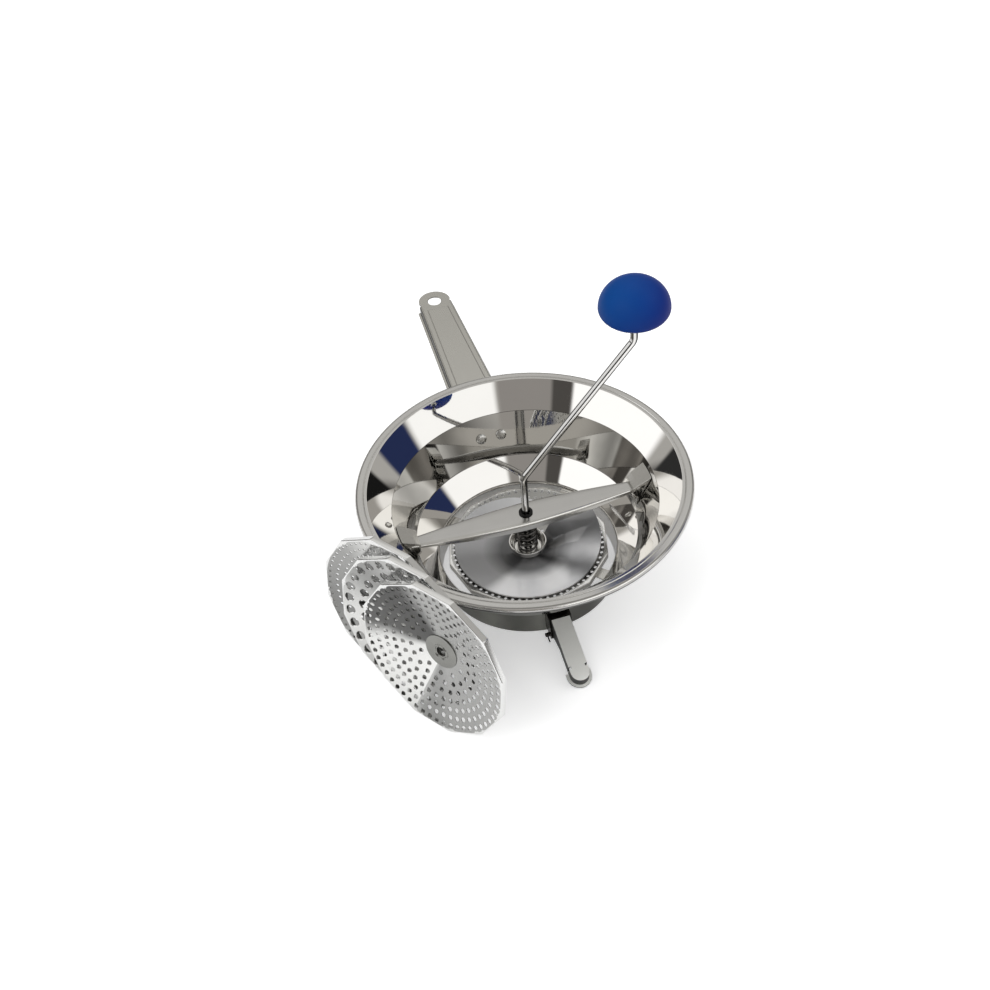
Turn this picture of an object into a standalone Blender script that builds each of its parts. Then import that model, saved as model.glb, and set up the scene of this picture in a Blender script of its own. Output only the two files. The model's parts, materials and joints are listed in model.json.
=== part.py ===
# Hand cranked food mill with three spare perforated discs.
# Metres, +Z up. Z = 0 is the table, the handle points to +Y and the cross bar runs along X.

import math

import bmesh
import bpy
from mathutils import Matrix, Vector

for old in list(bpy.data.objects):
    bpy.data.objects.remove(old)

# Driving dimensions

# Bowl, from the rolled rim down to the outlet neck
mill_height = 0.113
rim_radius = 0.1552
bead_radius = 0.0032
rim_band = 0.0110
brim_run_share = 0.3271
wall_run_share = 0.3203
brim_drop = 0.0243
wall_drop = 0.0413
neck_height = 0.0270
neck_play = 0.0060
shoulder_radius = 0.0070
sheet = 0.0012

# Gaps between pieces
gap = 0.0003
wall_gap = 0.00045
running_gap = 0.0006
overrun = 0.0040
merge_distance = 0.000003

# Perforated discs
disc_radius = 0.0780
disc_sheet = 0.0010
disc_dish = 0.0140
disc_flange = 0.0060
disc_land = 0.0020
disc_lift = 0.0020
hub_radius = 0.0178
hub_washer = 0.0012
hub_hole_radius = 0.0046
hub_bead_radius = 0.0068
hub_crown_share = 0.6
fine_hole_radius = 0.0012
medium_hole_radius = 0.0021
coarse_hole_radius = 0.0042
hole_land = 0.0006
hole_start_share = 1.7
ring_turn_share = 0.5

# Seat lugs inside the neck
lug_sheet = 0.0015
lug_reach = 0.0115
lug_height = 0.0120
lug_width = 0.0130

# Handle
handle_drop = 0.0260
handle_length = 0.2209
handle_root_width = 0.0475
handle_tip_width = 0.0345
handle_depth = 0.0100
handle_lip = 0.0030
handle_sheet = 0.0014
handle_tongue_width = 0.0360
handle_tongue_drop = 0.0330
handle_channel_share = 0.35
handle_tongue_share = 0.67
handle_rivet_share = 0.58
handle_panel_margin = 0.0065
handle_panel_rise = 0.0006
hang_hole_radius = 0.0072
rivet_radius = 0.0027
rivet_head_radius = 0.0052
rivet_head_height = 0.0016
handle_rivet_spacing = 0.0210
rivet_crown_share = 0.62
rivet_edge_share = 0.35
small_rivet_share = 0.7

# Folding leg and its bracket
leg_pin_height = 0.0088
leg_pin_radius = 0.0020
leg_stand_off = 0.0123
leg_pin_length = 0.0290
leg_pin_head_radius = 0.0032
leg_pin_head = 0.0016
leg_pin_crown_share = 0.6
leg_pin_point_share = 0.7
leg_width = 0.0176
leg_sheet = 0.0012
leg_rise = 0.0184
leg_length = 0.0590
leg_flange = 0.0105
leg_slope = math.radians(15.0)
leg_lobe = 0.0048
leg_taper_length = 0.0160
leg_lip = 0.0028
leg_lip_length = 0.0130
leg_notch = 0.0022
bracket_sheet = 0.0015
bracket_lap_share = 0.8
bracket_ear_share = 0.55
bracket_rivet_spacing = 0.0104
cotter_radius = 0.0007
cotter_length = 0.0085
cotter_leg_shares = (0.45, 0.60)
cotter_bend_share = 1.5

# Cross bar and the two clips that hold its ends
bar_drop = 0.0420
bar_end_clearance = 0.0040
bar_mid_width = 0.0300
bar_end_width = 0.0120
bar_sheet = 0.0015
bar_mid_flange = 0.0080
bar_end_flange = 0.0024
bar_taper_power = 1.6
bar_lip_share = 1.2
clip_width = 0.0220
clip_sheet = 0.0015
clip_reach = 0.0120
clip_height = 0.0320
clip_jaw = 0.0100
clip_rise_share = 0.45
clip_lap_share = 0.62
clip_facet_share = 0.35
bush_radius = 0.0054
bush_flange_radius = 0.0066
bush_flange = 0.0014
bush_crown_share = 0.94

# Crank, knob and rotor
rod_radius = 0.0034
crank_radius = 0.1065
crank_rise = 0.0030
arm_rise = 0.1290
bend_radius = 0.0110
stem_length = 0.0240
shaft_reach = 0.0085
knob_radius = 0.0310
knob_dome = 0.0270
knob_under = 0.0165
knob_band_share = 0.3
knob_foot_radius = 0.0105
knob_bore_depth = 0.0240
knob_nut_radius = 0.0062
knob_nut = 0.0016
collar_radius = 0.0055
collar_height = 0.0030
collar_foot_share = 0.85
boss_height = 0.0150
boss_cup_radius = 0.0182
boss_cup_depth = 0.0095
boss_sheet = 0.0016
boss_stem_radius = 0.0105
boss_waist_share = 0.8
blade_sheet = 0.0012
blade_edge_clearance = 0.0033
blade_start = math.radians(28.0)
blade_sweep = math.radians(322.0)
blade_row_shares = (0.0, 0.12, 0.34, 0.56, 0.78, 0.93, 1.0)
blade_inner_share = 1.05
blade_rise = 0.0150
blade_climb_share = 0.31
blade_climb_power = 1.5
blade_full_lift_share = 0.417
blade_trail_share = 0.16
blade_trail_start_share = 0.75
blade_crease = 0.0030
blade_crease_share = 0.16
blade_crease_width_share = 0.0625

# Pressure spring
spring_wire_radius = 0.0011
spring_radius = 0.0088
spring_turns = 6.5
spring_washer = 0.0012
spring_washer_radius = 0.0110
washer_edge_share = 0.2
closed_turn_share = 0.75

# Spare discs, which lean on the rim one in front of the other
lean_azimuth = math.radians(-144.0)
lean_angle = math.radians(8.0)
back_shift = -0.0220
middle_shift = 0.0050
front_shift = 0.0400

# Facet counts
bowl_steps = 56
disc_sides = 12
turned_steps = 24
ring_steps = 16
small_steps = 12
hole_sides = 6


def material(name, colour, roughness, metallic):
    made = bpy.data.materials.new(name)
    made.use_nodes = True
    shader = made.node_tree.nodes["Principled BSDF"]
    shader.inputs["Base Color"].default_value = (*colour, 1.0)
    shader.inputs["Roughness"].default_value = roughness
    shader.inputs["Metallic"].default_value = metallic
    return made


def polished(name):
    return material(name, (0.78, 0.77, 0.74), 0.16, 1.0)


def satin(name):
    return material(name, (0.66, 0.66, 0.64), 0.34, 1.0)


def empty(name, place, parent=None, turn=(0.0, 0.0, 0.0)):
    made = bpy.data.objects.new(name, None)
    made.location = place
    made.rotation_euler = turn
    made.parent = parent
    bpy.context.scene.collection.objects.link(made)
    return made


def add_object(name, mesh, look, parent, smooth_angle=math.radians(35.0)):
    made = bpy.data.objects.new(name, mesh)
    bpy.context.scene.collection.objects.link(made)
    made.parent = parent
    if look is not None:
        mesh.materials.append(look)
    if smooth_angle is not None and isinstance(mesh, bpy.types.Mesh):
        mesh.shade_smooth()
        mesh.set_sharp_from_angle(angle=smooth_angle)
    return made


def finish_mesh(name, bm):
    bmesh.ops.recalc_face_normals(bm, faces=bm.faces)
    mesh = bpy.data.meshes.new(name)
    bm.to_mesh(mesh)
    bm.free()
    return mesh


def turned_mesh(name, profile, steps):
    """Spin a closed (radius, height) outline about Z; points on the axis are merged."""
    bm = bmesh.new()
    ring = [bm.verts.new((r, 0.0, z)) for r, z in profile]
    edges = [bm.edges.new((ring[i], ring[i - 1])) for i in range(len(ring))
             if not (ring[i].co.x == 0.0 and ring[i - 1].co.x == 0.0)]
    bmesh.ops.spin(bm, geom=ring + edges, cent=(0.0, 0.0, 0.0), axis=(0.0, 0.0, 1.0),
                   angle=2.0 * math.pi, steps=steps, use_merge=True)
    bmesh.ops.remove_doubles(bm, verts=bm.verts, dist=merge_distance)
    return finish_mesh(name, bm)


def swept_mesh(name, profile, middle, half_angle, steps):
    """Sweep a closed (radius, height) outline through an arc about Z, with flat ends."""
    bm = bmesh.new()
    rows = []
    for k in range(steps + 1):
        angle = middle - half_angle + 2.0 * half_angle * k / steps
        rows.append([bm.verts.new((r * math.cos(angle), r * math.sin(angle), z)) for r, z in profile])
    count = len(profile)
    for a, b in zip(rows, rows[1:]):
        for i in range(count):
            j = (i + 1) % count
            bm.faces.new((a[i], a[j], b[j], b[i]))
    bm.faces.new(rows[0])
    bm.faces.new(rows[-1])
    return finish_mesh(name, bm)


def sheet_mesh(name, rows):
    """Faces between rows of points; a Solidify modifier gives the sheet its thickness."""
    bm = bmesh.new()
    grid = [[bm.verts.new(p) for p in row] for row in rows]
    for a, b in zip(grid, grid[1:]):
        for i in range(len(a) - 1):
            bm.faces.new((a[i], a[i + 1], b[i + 1], b[i]))
    return finish_mesh(name, bm)


def prism_mesh(name, outline, low, high):
    """Extrude a flat (x, y) outline from one height to another."""
    bm = bmesh.new()
    face = bm.faces.new([bm.verts.new((x, y, low)) for x, y in outline])
    grown = bmesh.ops.extrude_face_region(bm, geom=[face])
    lifted = [item for item in grown["geom"] if isinstance(item, bmesh.types.BMVert)]
    bmesh.ops.translate(bm, verts=lifted, vec=(0.0, 0.0, high - low))
    return finish_mesh(name, bm)


def side_prism_mesh(name, outline, half_width):
    """Extrude a (y, z) outline along X, to both sides of the middle."""
    bm = bmesh.new()
    face = bm.faces.new([bm.verts.new((-half_width, y, z)) for y, z in outline])
    grown = bmesh.ops.extrude_face_region(bm, geom=[face])
    moved = [item for item in grown["geom"] if isinstance(item, bmesh.types.BMVert)]
    bmesh.ops.translate(bm, verts=moved, vec=(2.0 * half_width, 0.0, 0.0))
    return finish_mesh(name, bm)


def solidify(thing, thickness, offset=0.0):
    made = thing.modifiers.new("thickness", "SOLIDIFY")
    made.thickness = thickness
    made.offset = offset
    made.use_even_offset = True
    return made


def boolean(thing, cutter, operation):
    made = thing.modifiers.new(operation.lower(), "BOOLEAN")
    made.operation = operation
    made.solver = "EXACT"
    made.object = cutter
    cutter.hide_render = True
    cutter.display_type = "WIRE"
    return made


def cutter_object(name, mesh, parent):
    return add_object(name, mesh, None, parent, None)


def rod_points(corners, radius, steps):
    """A path through corners whose bends are arcs of the given radius."""
    points = [Vector(corners[0])]
    for before, here, after in zip(corners, corners[1:], corners[2:]):
        here = Vector(here)
        back = (Vector(before) - here).normalized()
        onward = (Vector(after) - here).normalized()
        half = back.angle(onward) / 2.0
        reach = radius / math.tan(half)
        centre = here + (back + onward).normalized() * radius / math.sin(half)
        first = here + back * reach - centre
        last = here + onward * reach - centre
        whole = first.angle(last)
        for k in range(steps + 1):
            share = k / steps
            mix = first * math.sin((1.0 - share) * whole) + last * math.sin(share * whole)
            points.append(centre + mix / math.sin(whole))
    points.append(Vector(corners[-1]))
    return points


def tube_object(name, points, radius, look, parent, resolution):
    curve = bpy.data.curves.new(name, "CURVE")
    curve.dimensions = "3D"
    curve.bevel_depth = radius
    curve.bevel_resolution = resolution
    curve.use_fill_caps = True
    spline = curve.splines.new("POLY")
    spline.points.add(len(points) - 1)
    for slot, point in zip(spline.points, points):
        slot.co = (*point, 1.0)
    spline.use_smooth = True
    return add_object(name, curve, look, parent)


def arc(centre_r, centre_z, radius, start, end, steps):
    """Points of an arc in the (radius, height) plane, angles in degrees."""
    points = []
    for k in range(steps + 1):
        angle = math.radians(start + (end - start) * k / steps)
        points.append((centre_r + radius * math.cos(angle), centre_z + radius * math.sin(angle)))
    return points


def offset_path(path, distance):
    """Shift an open (radius, height) path to its left by the distance, with mitred corners."""
    shifted = []
    for i, (r, z) in enumerate(path):
        normals = []
        for a, b in ((i - 1, i), (i, i + 1)):
            if a >= 0 and b < len(path):
                dr = path[b][0] - path[a][0]
                dz = path[b][1] - path[a][1]
                length = math.hypot(dr, dz)
                normals.append((-dz / length, dr / length))
        nr = sum(n[0] for n in normals) / len(normals)
        nz = sum(n[1] for n in normals) / len(normals)
        size = nr * nr + nz * nz
        shifted.append((r + distance * nr / size, z + distance * nz / size))
    return shifted


# Places on the bowl; its brim, wall and shoulder share the run from the brim's top to the neck
neck_inside = disc_radius + neck_play
neck_radius = neck_inside + sheet
brim_top_radius = rim_radius - rim_band
bowl_run = brim_top_radius - neck_radius
brim_foot_radius = brim_top_radius - bowl_run * brim_run_share
wall_foot_radius = brim_foot_radius - bowl_run * wall_run_share
brim_foot_height = mill_height - brim_drop
wall_foot_height = brim_foot_height - wall_drop
bead_radius_from_axis = rim_radius - bead_radius
bead_height = mill_height - bead_radius
wall_lean = math.atan2(brim_foot_radius - wall_foot_radius, wall_drop)


def wall_radius(height):
    """Outside radius of the steep wall at a height."""
    return wall_foot_radius + (height - wall_foot_height) * math.tan(wall_lean)


def wall_inner_radius(height):
    return wall_radius(height) - sheet / math.cos(wall_lean)


# Edge of a disc's cone, and of the blade over it
disc_cone_radius = disc_radius * math.cos(math.pi / disc_sides) - disc_land
blade_radius = disc_cone_radius - blade_edge_clearance

# Places of what the bowl carries
disc_seat_height = neck_height + disc_lift
handle_top = mill_height - handle_drop
handle_reach = wall_radius(handle_top) + handle_length
leg_pin_reach = neck_radius + leg_stand_off
bar_top = mill_height - bar_drop
bar_half_length = wall_inner_radius(bar_top) - bar_end_clearance
crank_bend_height = mill_height + crank_rise
arm_top_height = crank_bend_height + arm_rise
knob_low = arm_top_height + stem_length
knob_centre_height = knob_low + knob_under


def bowl_outer_path():
    """Outside of the bowl from the bead's root down to the outlet."""
    path = [(brim_top_radius + sheet, mill_height - sheet)]
    path.append((brim_foot_radius, brim_foot_height))
    path.append((wall_foot_radius, wall_foot_height))
    cone_slope = math.atan2(wall_foot_height - neck_height, wall_foot_radius - neck_radius)
    bend = math.pi / 2.0 - cone_slope
    reach = shoulder_radius * math.tan(bend / 2.0)
    centre = (neck_radius + shoulder_radius, neck_height - reach)
    path += arc(centre[0], centre[1], shoulder_radius, 180.0 - math.degrees(bend), 180.0, 3)
    path.append((neck_radius, 0.0))
    return path


def make_bowl(parent):
    outer = bowl_outer_path()
    inner = offset_path(outer[1:], -sheet)
    inner[-1] = (neck_inside, 0.0)
    bead = arc(bead_radius_from_axis, bead_height, bead_radius, -150.0, 120.0, 6)
    brim_top = [(brim_top_radius, mill_height)]
    bead_root = [(brim_top_radius + 2.0 * sheet, mill_height - sheet)]
    profile = bead_root + bead + brim_top + inner + outer[:0:-1]
    return add_object("bowl", turned_mesh("bowl", profile, bowl_steps), polished("bowl steel"), parent)


def polygon_radius(angle, corner_radius):
    """Radius of a regular polygon's edge at an angle; a corner lies at angle zero."""
    step = 2.0 * math.pi / disc_sides
    across = (angle % step) - step / 2.0
    return corner_radius * math.cos(step / 2.0) / math.cos(across)


def dish_depth(radius):
    """How far the disc's face lies below its rim at a radius."""
    share = (radius - hub_radius) / (disc_cone_radius - hub_radius)
    return disc_dish * (1.0 - min(max(share, 0.0), 1.0))


def disc_mesh(name):
    """Dished plate with a flat hub, a flat land and a turned-down rim with twelve sides."""
    corner_inside = disc_radius - disc_sheet / math.cos(math.pi / disc_sides)
    hole = hub_bead_radius + gap
    profile = [
        (hole, -disc_dish, False), (hub_radius, -disc_dish, False),
        (disc_cone_radius, 0.0, False), (disc_radius, 0.0, True),
        (disc_radius, -disc_flange, True), (corner_inside, -disc_flange, True),
        (corner_inside, -disc_sheet, True), (disc_cone_radius, -disc_sheet, False),
        (hub_radius, -disc_dish - disc_sheet, False), (hole, -disc_dish - disc_sheet, False)]
    bm = bmesh.new()
    steps = 2 * disc_sides
    rows = []
    for k in range(steps):
        angle = 2.0 * math.pi * k / steps
        row = []
        for radius, height, many_sided in profile:
            reach = polygon_radius(angle, radius) if many_sided else radius
            row.append(bm.verts.new((reach * math.cos(angle), reach * math.sin(angle), height)))
        rows.append(row)
    count = len(profile)
    for k in range(steps):
        a, b = rows[k], rows[(k + 1) % steps]
        for i in range(count):
            j = (i + 1) % count
            bm.faces.new((a[i], a[j], b[j], b[i]))
    return finish_mesh(name, bm)


def hole_rings(rings, hole_radius):
    """Centres of the holes: rings evenly spaced from the hub to the rim, every second one turned."""
    first = hub_radius + hole_radius * (1.0 + hole_start_share)
    last = disc_cone_radius - hole_radius - hole_land
    centres = []
    for k, count in enumerate(rings):
        radius = first + (last - first) * k / (len(rings) - 1)
        for j in range(count):
            angle = 2.0 * math.pi * (j + ring_turn_share * (k % 2)) / count
            centres.append((radius * math.cos(angle), radius * math.sin(angle), angle))
    return centres


def hole_cutter_mesh(name, centres, radius):
    bm = bmesh.new()
    for x, y, angle in centres:
        place = Matrix.Translation((x, y, -disc_dish / 2.0)) @ Matrix.Rotation(angle, 4, "Z")
        bmesh.ops.create_cone(bm, cap_ends=True, segments=hole_sides, radius1=radius, radius2=radius,
                              depth=disc_dish + 2.0 * overrun, matrix=place)
    return finish_mesh(name, bm)


def make_disc(name, hole_radius, ring_counts, parent):
    disc = add_object(name, disc_mesh(name), satin(name + " steel"), parent)
    holes = hole_cutter_mesh(name + "_holes", hole_rings(ring_counts, hole_radius), hole_radius)
    boolean(disc, cutter_object(name + "_holes", holes, parent), "DIFFERENCE")
    return disc


def make_hub(name, parent):
    """Washer on the dished side with a short bead rolled through the plate's hole."""
    face = -disc_dish
    under = face - disc_sheet
    profile = [
        (hub_hole_radius, face + hub_washer), (hub_radius - disc_sheet, face + hub_washer * hub_crown_share),
        (hub_radius - disc_sheet, face + gap), (hub_bead_radius, face + gap),
        (hub_bead_radius, under - gap), (hub_bead_radius + disc_sheet, under - gap),
        (hub_bead_radius + disc_sheet, under - gap - disc_sheet),
        (hub_hole_radius, under - gap - disc_sheet)]
    return add_object(name, turned_mesh(name, profile, ring_steps), satin(name + " steel"), parent)


def make_seat_lugs(parent):
    """Four shelves inside the neck, just under the turned-down rim of the fitted disc."""
    seat = disc_seat_height - disc_flange - gap
    outside = neck_inside - gap
    profile = [
        (outside, seat - lug_height), (outside, seat), (outside - lug_reach, seat),
        (outside - lug_reach, seat - lug_sheet), (outside - lug_sheet, seat - lug_sheet),
        (outside - lug_sheet, seat - lug_height)]
    half_angle = lug_width / 2.0 / outside
    look = satin("lug steel")
    for k, name in enumerate(("seat_lug_1", "seat_lug_2", "seat_lug_3", "seat_lug_4")):
        middle = math.radians(45.0 + 90.0 * k)
        add_object(name, swept_mesh(name, profile, middle, half_angle, 3), look, parent)


def rivet_profile(grip, size):
    """Rivet with two low heads; the grip lies between them, from zero downwards."""
    head = rivet_head_height * size
    wide = rivet_head_radius * size
    crown = wide * rivet_crown_share
    edge = head * rivet_edge_share
    shank = rivet_radius * size
    low = -grip - 2.0 * gap
    return [
        (0.0, head), (crown, head), (wide, edge + gap), (wide, gap), (shank, gap), (shank, low),
        (wide, low), (wide, low - edge), (crown, low - head), (0.0, low - head)]


def along_normal(point, normal):
    """Matrix that stands a turned piece on a point, its axis along the normal."""
    return Matrix.Translation(point) @ normal.to_track_quat("Z", "Y").to_matrix().to_4x4()


def make_rivets(names, places, grip, size, parent, drilled):
    """One rivet at each place, and the holes for them in the pieces that they join."""
    look = satin(names[0] + " steel")
    holes = bmesh.new()
    for name, (point, normal) in zip(names, places):
        mesh = turned_mesh(name, rivet_profile(grip, size), small_steps)
        mesh.transform(along_normal(point, normal))
        add_object(name, mesh, look, parent)
        radius = rivet_radius * size + gap
        bmesh.ops.create_cone(holes, cap_ends=True, segments=small_steps, radius1=radius, radius2=radius,
                              depth=2.0 * (grip + overrun), matrix=along_normal(point, normal))
    drill = names[0] + "_drill"
    cutter = cutter_object(drill, finish_mesh(drill, holes), parent)
    for thing in drilled:
        boolean(thing, cutter, "DIFFERENCE")


def handle_half_width(y):
    start = wall_radius(handle_top)
    share = (y - start) / (handle_reach - start)
    return (handle_root_width + (handle_tip_width - handle_root_width) * share) / 2.0


def against_wall(x, height, clear):
    """Distance along Y at which a point stands off the wall by the clearance."""
    radius = wall_radius(height) + clear / math.cos(wall_lean)
    return math.sqrt(radius * radius - x * x)


def make_handle(parent):
    """Tapered channel with turned-out lips, a round tip and a tongue that lies on the wall."""
    half = handle_sheet / 2.0
    top = handle_top - half
    low = handle_top - handle_depth
    stand_off = gap + half
    tip_centre = handle_reach - handle_tip_width / 2.0
    channel_end = tip_centre - handle_tip_width * handle_channel_share
    stations = 6
    rows = []
    for k in range(stations + 1):
        share = k / stations
        row = []
        for side, level, lip in ((-1, low, handle_lip), (-1, low, 0.0), (-1, top, 0.0),
                                 (1, top, 0.0), (1, low, 0.0), (1, low, handle_lip)):
            start = against_wall(handle_root_width / 2.0, level, stand_off)
            y = start + (channel_end - start) * share
            row.append((side * (handle_half_width(y) + lip), y, level))
        rows.append(row)
    bm = bmesh.new()
    grid = [[bm.verts.new(p) for p in row] for row in rows]
    for a, b in zip(grid, grid[1:]):
        for i in range(5):
            bm.faces.new((a[i], a[i + 1], b[i + 1], b[i]))
    round_tip = [grid[-1][2]]
    for k in range(9):
        angle = math.pi * (1.0 - k / 8.0)
        reach = handle_tip_width / 2.0
        round_tip.append(bm.verts.new((reach * math.cos(angle), tip_centre + reach * math.sin(angle), top)))
    round_tip.append(grid[-1][3])
    bm.faces.new(round_tip)
    tongue_top = [grid[0][2]]
    columns = 6
    for k in range(1, columns):
        x = handle_root_width * (k / columns - 0.5)
        tongue_top.append(bm.verts.new((x, against_wall(x, top, stand_off), top)))
    tongue_top.append(grid[0][3])
    bm.faces.remove(bm.faces.get((grid[0][2], grid[0][3], grid[1][3], grid[1][2])))
    bm.faces.new(tongue_top + [grid[1][3], grid[1][2]])
    previous = tongue_top
    for k in range(1, 4):
        share = k / 3.0
        height = top - handle_tongue_drop * share
        narrowing = (handle_root_width - handle_tongue_width) * min(share / handle_tongue_share, 1.0)
        width = handle_root_width - narrowing
        row = []
        for j in range(columns + 1):
            x = width * (j / columns - 0.5)
            row.append(bm.verts.new((x, against_wall(x, height, stand_off), height)))
        for i in range(columns):
            bm.faces.new((previous[i], previous[i + 1], row[i + 1], row[i]))
        previous = row
    handle = add_object("handle", finish_mesh("handle", bm), satin("handle steel"), parent)
    solidify(handle, handle_sheet)
    raised = prism_mesh("panel_raised", panel_outline(0.0), top, handle_top + handle_panel_rise)
    boolean(handle, cutter_object("panel_raised", raised, parent), "UNION")
    hollow = prism_mesh("panel_hollow", panel_outline(handle_sheet), handle_top - handle_depth,
                        handle_top - handle_sheet + handle_panel_rise)
    boolean(handle, cutter_object("panel_hollow", hollow, parent), "DIFFERENCE")
    hole = prism_mesh("hang_hole", circle_outline(0.0, tip_centre, hang_hole_radius, 20),
                      handle_top - handle_depth - overrun, handle_top + overrun)
    boolean(handle, cutter_object("hang_hole", hole, parent), "DIFFERENCE")
    return handle


def panel_outline(inset):
    """Tapered outline of the pressed panel between the rim and the hang hole, drawn in by the inset."""
    margin = handle_panel_margin + inset
    near = rim_radius + margin
    far = handle_reach - handle_tip_width / 2.0 - hang_hole_radius - margin
    near_half = handle_half_width(near) - margin
    far_half = handle_half_width(far) - margin
    return [(-near_half, near), (near_half, near), (far_half, far), (-far_half, far)]


def circle_outline(x, y, radius, count):
    turn = 2.0 * math.pi / count
    return [(x + radius * math.cos(turn * k), y + radius * math.sin(turn * k)) for k in range(count)]


def make_handle_rivets(parent, drilled):
    height = handle_top - handle_tongue_drop * handle_rivet_share
    radius = wall_radius(height) + (gap + handle_sheet) / math.cos(wall_lean)
    places = []
    for side in (-1, 1):
        angle = math.pi / 2.0 - side * handle_rivet_spacing / 2.0 / radius
        flat = Vector((math.cos(angle), math.sin(angle), 0.0))
        normal = flat * math.cos(wall_lean) - Vector((0.0, 0.0, math.sin(wall_lean)))
        places.append((flat * radius + Vector((0.0, 0.0, height)), normal))
    grip = handle_sheet + gap + sheet
    make_rivets(("handle_rivet_right", "handle_rivet_left"), places, grip, 1.0, parent, drilled)


# Places of the folding leg; its own frame has Y towards the bowl and Z square to its plate
bracket_half = leg_width / 2.0 + gap + bracket_sheet
leg_under = leg_rise - leg_sheet
leg_end_reach = leg_pin_reach - leg_lobe * math.cos(leg_slope) + leg_under * math.sin(leg_slope)
leg_end_height = leg_pin_height + leg_lobe * math.sin(leg_slope) + leg_under * math.cos(leg_slope)
bracket_top = leg_end_height + bracket_sheet * bracket_lap_share
ear_radius = leg_pin_radius + leg_lobe * bracket_ear_share


def make_leg_bracket(parent):
    """Pressed bracket: a back plate on the neck, two ears for the pin and a stop tab on top."""
    back = neck_radius + gap
    stop = -(leg_end_reach - gap)
    side = [(0.0, bracket_top), (stop, bracket_top), (stop, bracket_top - bracket_sheet)]
    for k in range(9):
        angle = math.radians(135.0 + 22.5 * k)
        side.append((-leg_pin_reach + ear_radius * math.cos(angle),
                     leg_pin_height + ear_radius * math.sin(angle)))
    side.append((0.0, leg_pin_height - ear_radius))
    bracket = add_object("leg_bracket", side_prism_mesh("leg_bracket", side, bracket_half),
                         satin("bracket steel"), parent)
    front = -(back + bracket_sheet)
    far = -(leg_pin_reach + leg_pin_length)
    under = bracket_top - bracket_sheet
    opening = [(front, -overrun), (front, under), (far, under), (far, -overrun)]
    pocket = side_prism_mesh("bracket_pocket", opening, bracket_half - bracket_sheet)
    boolean(bracket, cutter_object("bracket_pocket", pocket, parent), "DIFFERENCE")
    clear = offset_path(bowl_outer_path()[1:], gap)
    clear[-1] = (neck_radius + gap, -overrun)
    neck = turned_mesh("bowl_clearance", [(0.0, clear[0][1])] + clear + [(0.0, -overrun)], 2 * bowl_steps)
    boolean(bracket, cutter_object("bowl_clearance", neck, parent), "DIFFERENCE")
    boolean(bracket, cutter_object("bracket_bore", cross_bore("bracket_bore", leg_pin_radius + gap), parent),
            "DIFFERENCE")
    return bracket


def cross_bore(name, radius, reach=leg_pin_reach, height=leg_pin_height):
    """Round cutter along X at the hinge pin's place."""
    bore = turned_mesh(name, [(0.0, leg_pin_length), (radius, leg_pin_length),
                              (radius, -leg_pin_length), (0.0, -leg_pin_length)], small_steps)
    bore.transform(Matrix.Translation((0.0, -reach, height)) @ Matrix.Rotation(math.pi / 2.0, 4, "Y"))
    return bore


def u_outline(half, start, far):
    """Flat outline with a square end at the start and a round end towards minus Y."""
    outline = [(half, start)]
    for k in range(11):
        angle = -math.pi * k / 10.0
        outline.append((half * math.cos(angle), -far + half * math.sin(angle)))
    outline.append((-half, start))
    return outline


def make_folding_leg(axis):
    """Channel with a round end, deep lobes round the pin, and a turned-out lip at its tip."""
    half = leg_width / 2.0
    far = leg_length - half
    edge = leg_rise - leg_flange
    lip_start = -(leg_length - leg_lip_length)
    body = prism_mesh("folding_leg", u_outline(half, leg_lobe, far), -leg_lobe, leg_rise)
    leg = add_object("folding_leg", body, satin("leg steel"), axis)
    lip = prism_mesh("leg_lip", u_outline(half + leg_lip, lip_start, far), edge, edge + leg_sheet)
    boolean(leg, cutter_object("leg_lip", lip, axis), "UNION")
    cavity = prism_mesh("leg_cavity", u_outline(half - leg_sheet, leg_lobe + overrun, far),
                        -leg_lobe - overrun, leg_rise - leg_sheet)
    boolean(leg, cutter_object("leg_cavity", cavity, axis), "DIFFERENCE")
    low = -leg_lobe * 2.0
    under = [(leg_lobe + overrun, low), (leg_lobe + overrun, 0.0)]
    for k in range(9):
        angle = -math.pi * k / 8.0
        under.append((leg_lobe * math.cos(angle), leg_lobe * math.sin(angle)))
    beyond = -leg_length - overrun
    under += [(-leg_lobe - leg_taper_length, edge), (beyond, edge), (beyond, low)]
    trim = side_prism_mesh("leg_trim", under, leg_width)
    boolean(leg, cutter_object("leg_trim", trim, axis), "DIFFERENCE")
    notches = bmesh.new()
    for side in (-1, 1):
        inner = side * (half - 2.0 * leg_sheet)
        outer = side * (half + overrun)
        outline = [(inner, lip_start + leg_notch), (outer, lip_start + leg_notch),
                   (outer, lip_start), (inner, lip_start)]
        part = prism_mesh("notch", outline, edge + leg_sheet * 2.0, leg_rise + overrun)
        notches.from_mesh(part)
        bpy.data.meshes.remove(part)
    boolean(leg, cutter_object("leg_notches", finish_mesh("leg_notches", notches), axis), "DIFFERENCE")
    bore = cross_bore("leg_bore", leg_pin_radius + gap, 0.0, 0.0)
    boolean(leg, cutter_object("leg_bore", bore, axis), "DIFFERENCE")
    return leg


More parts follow.
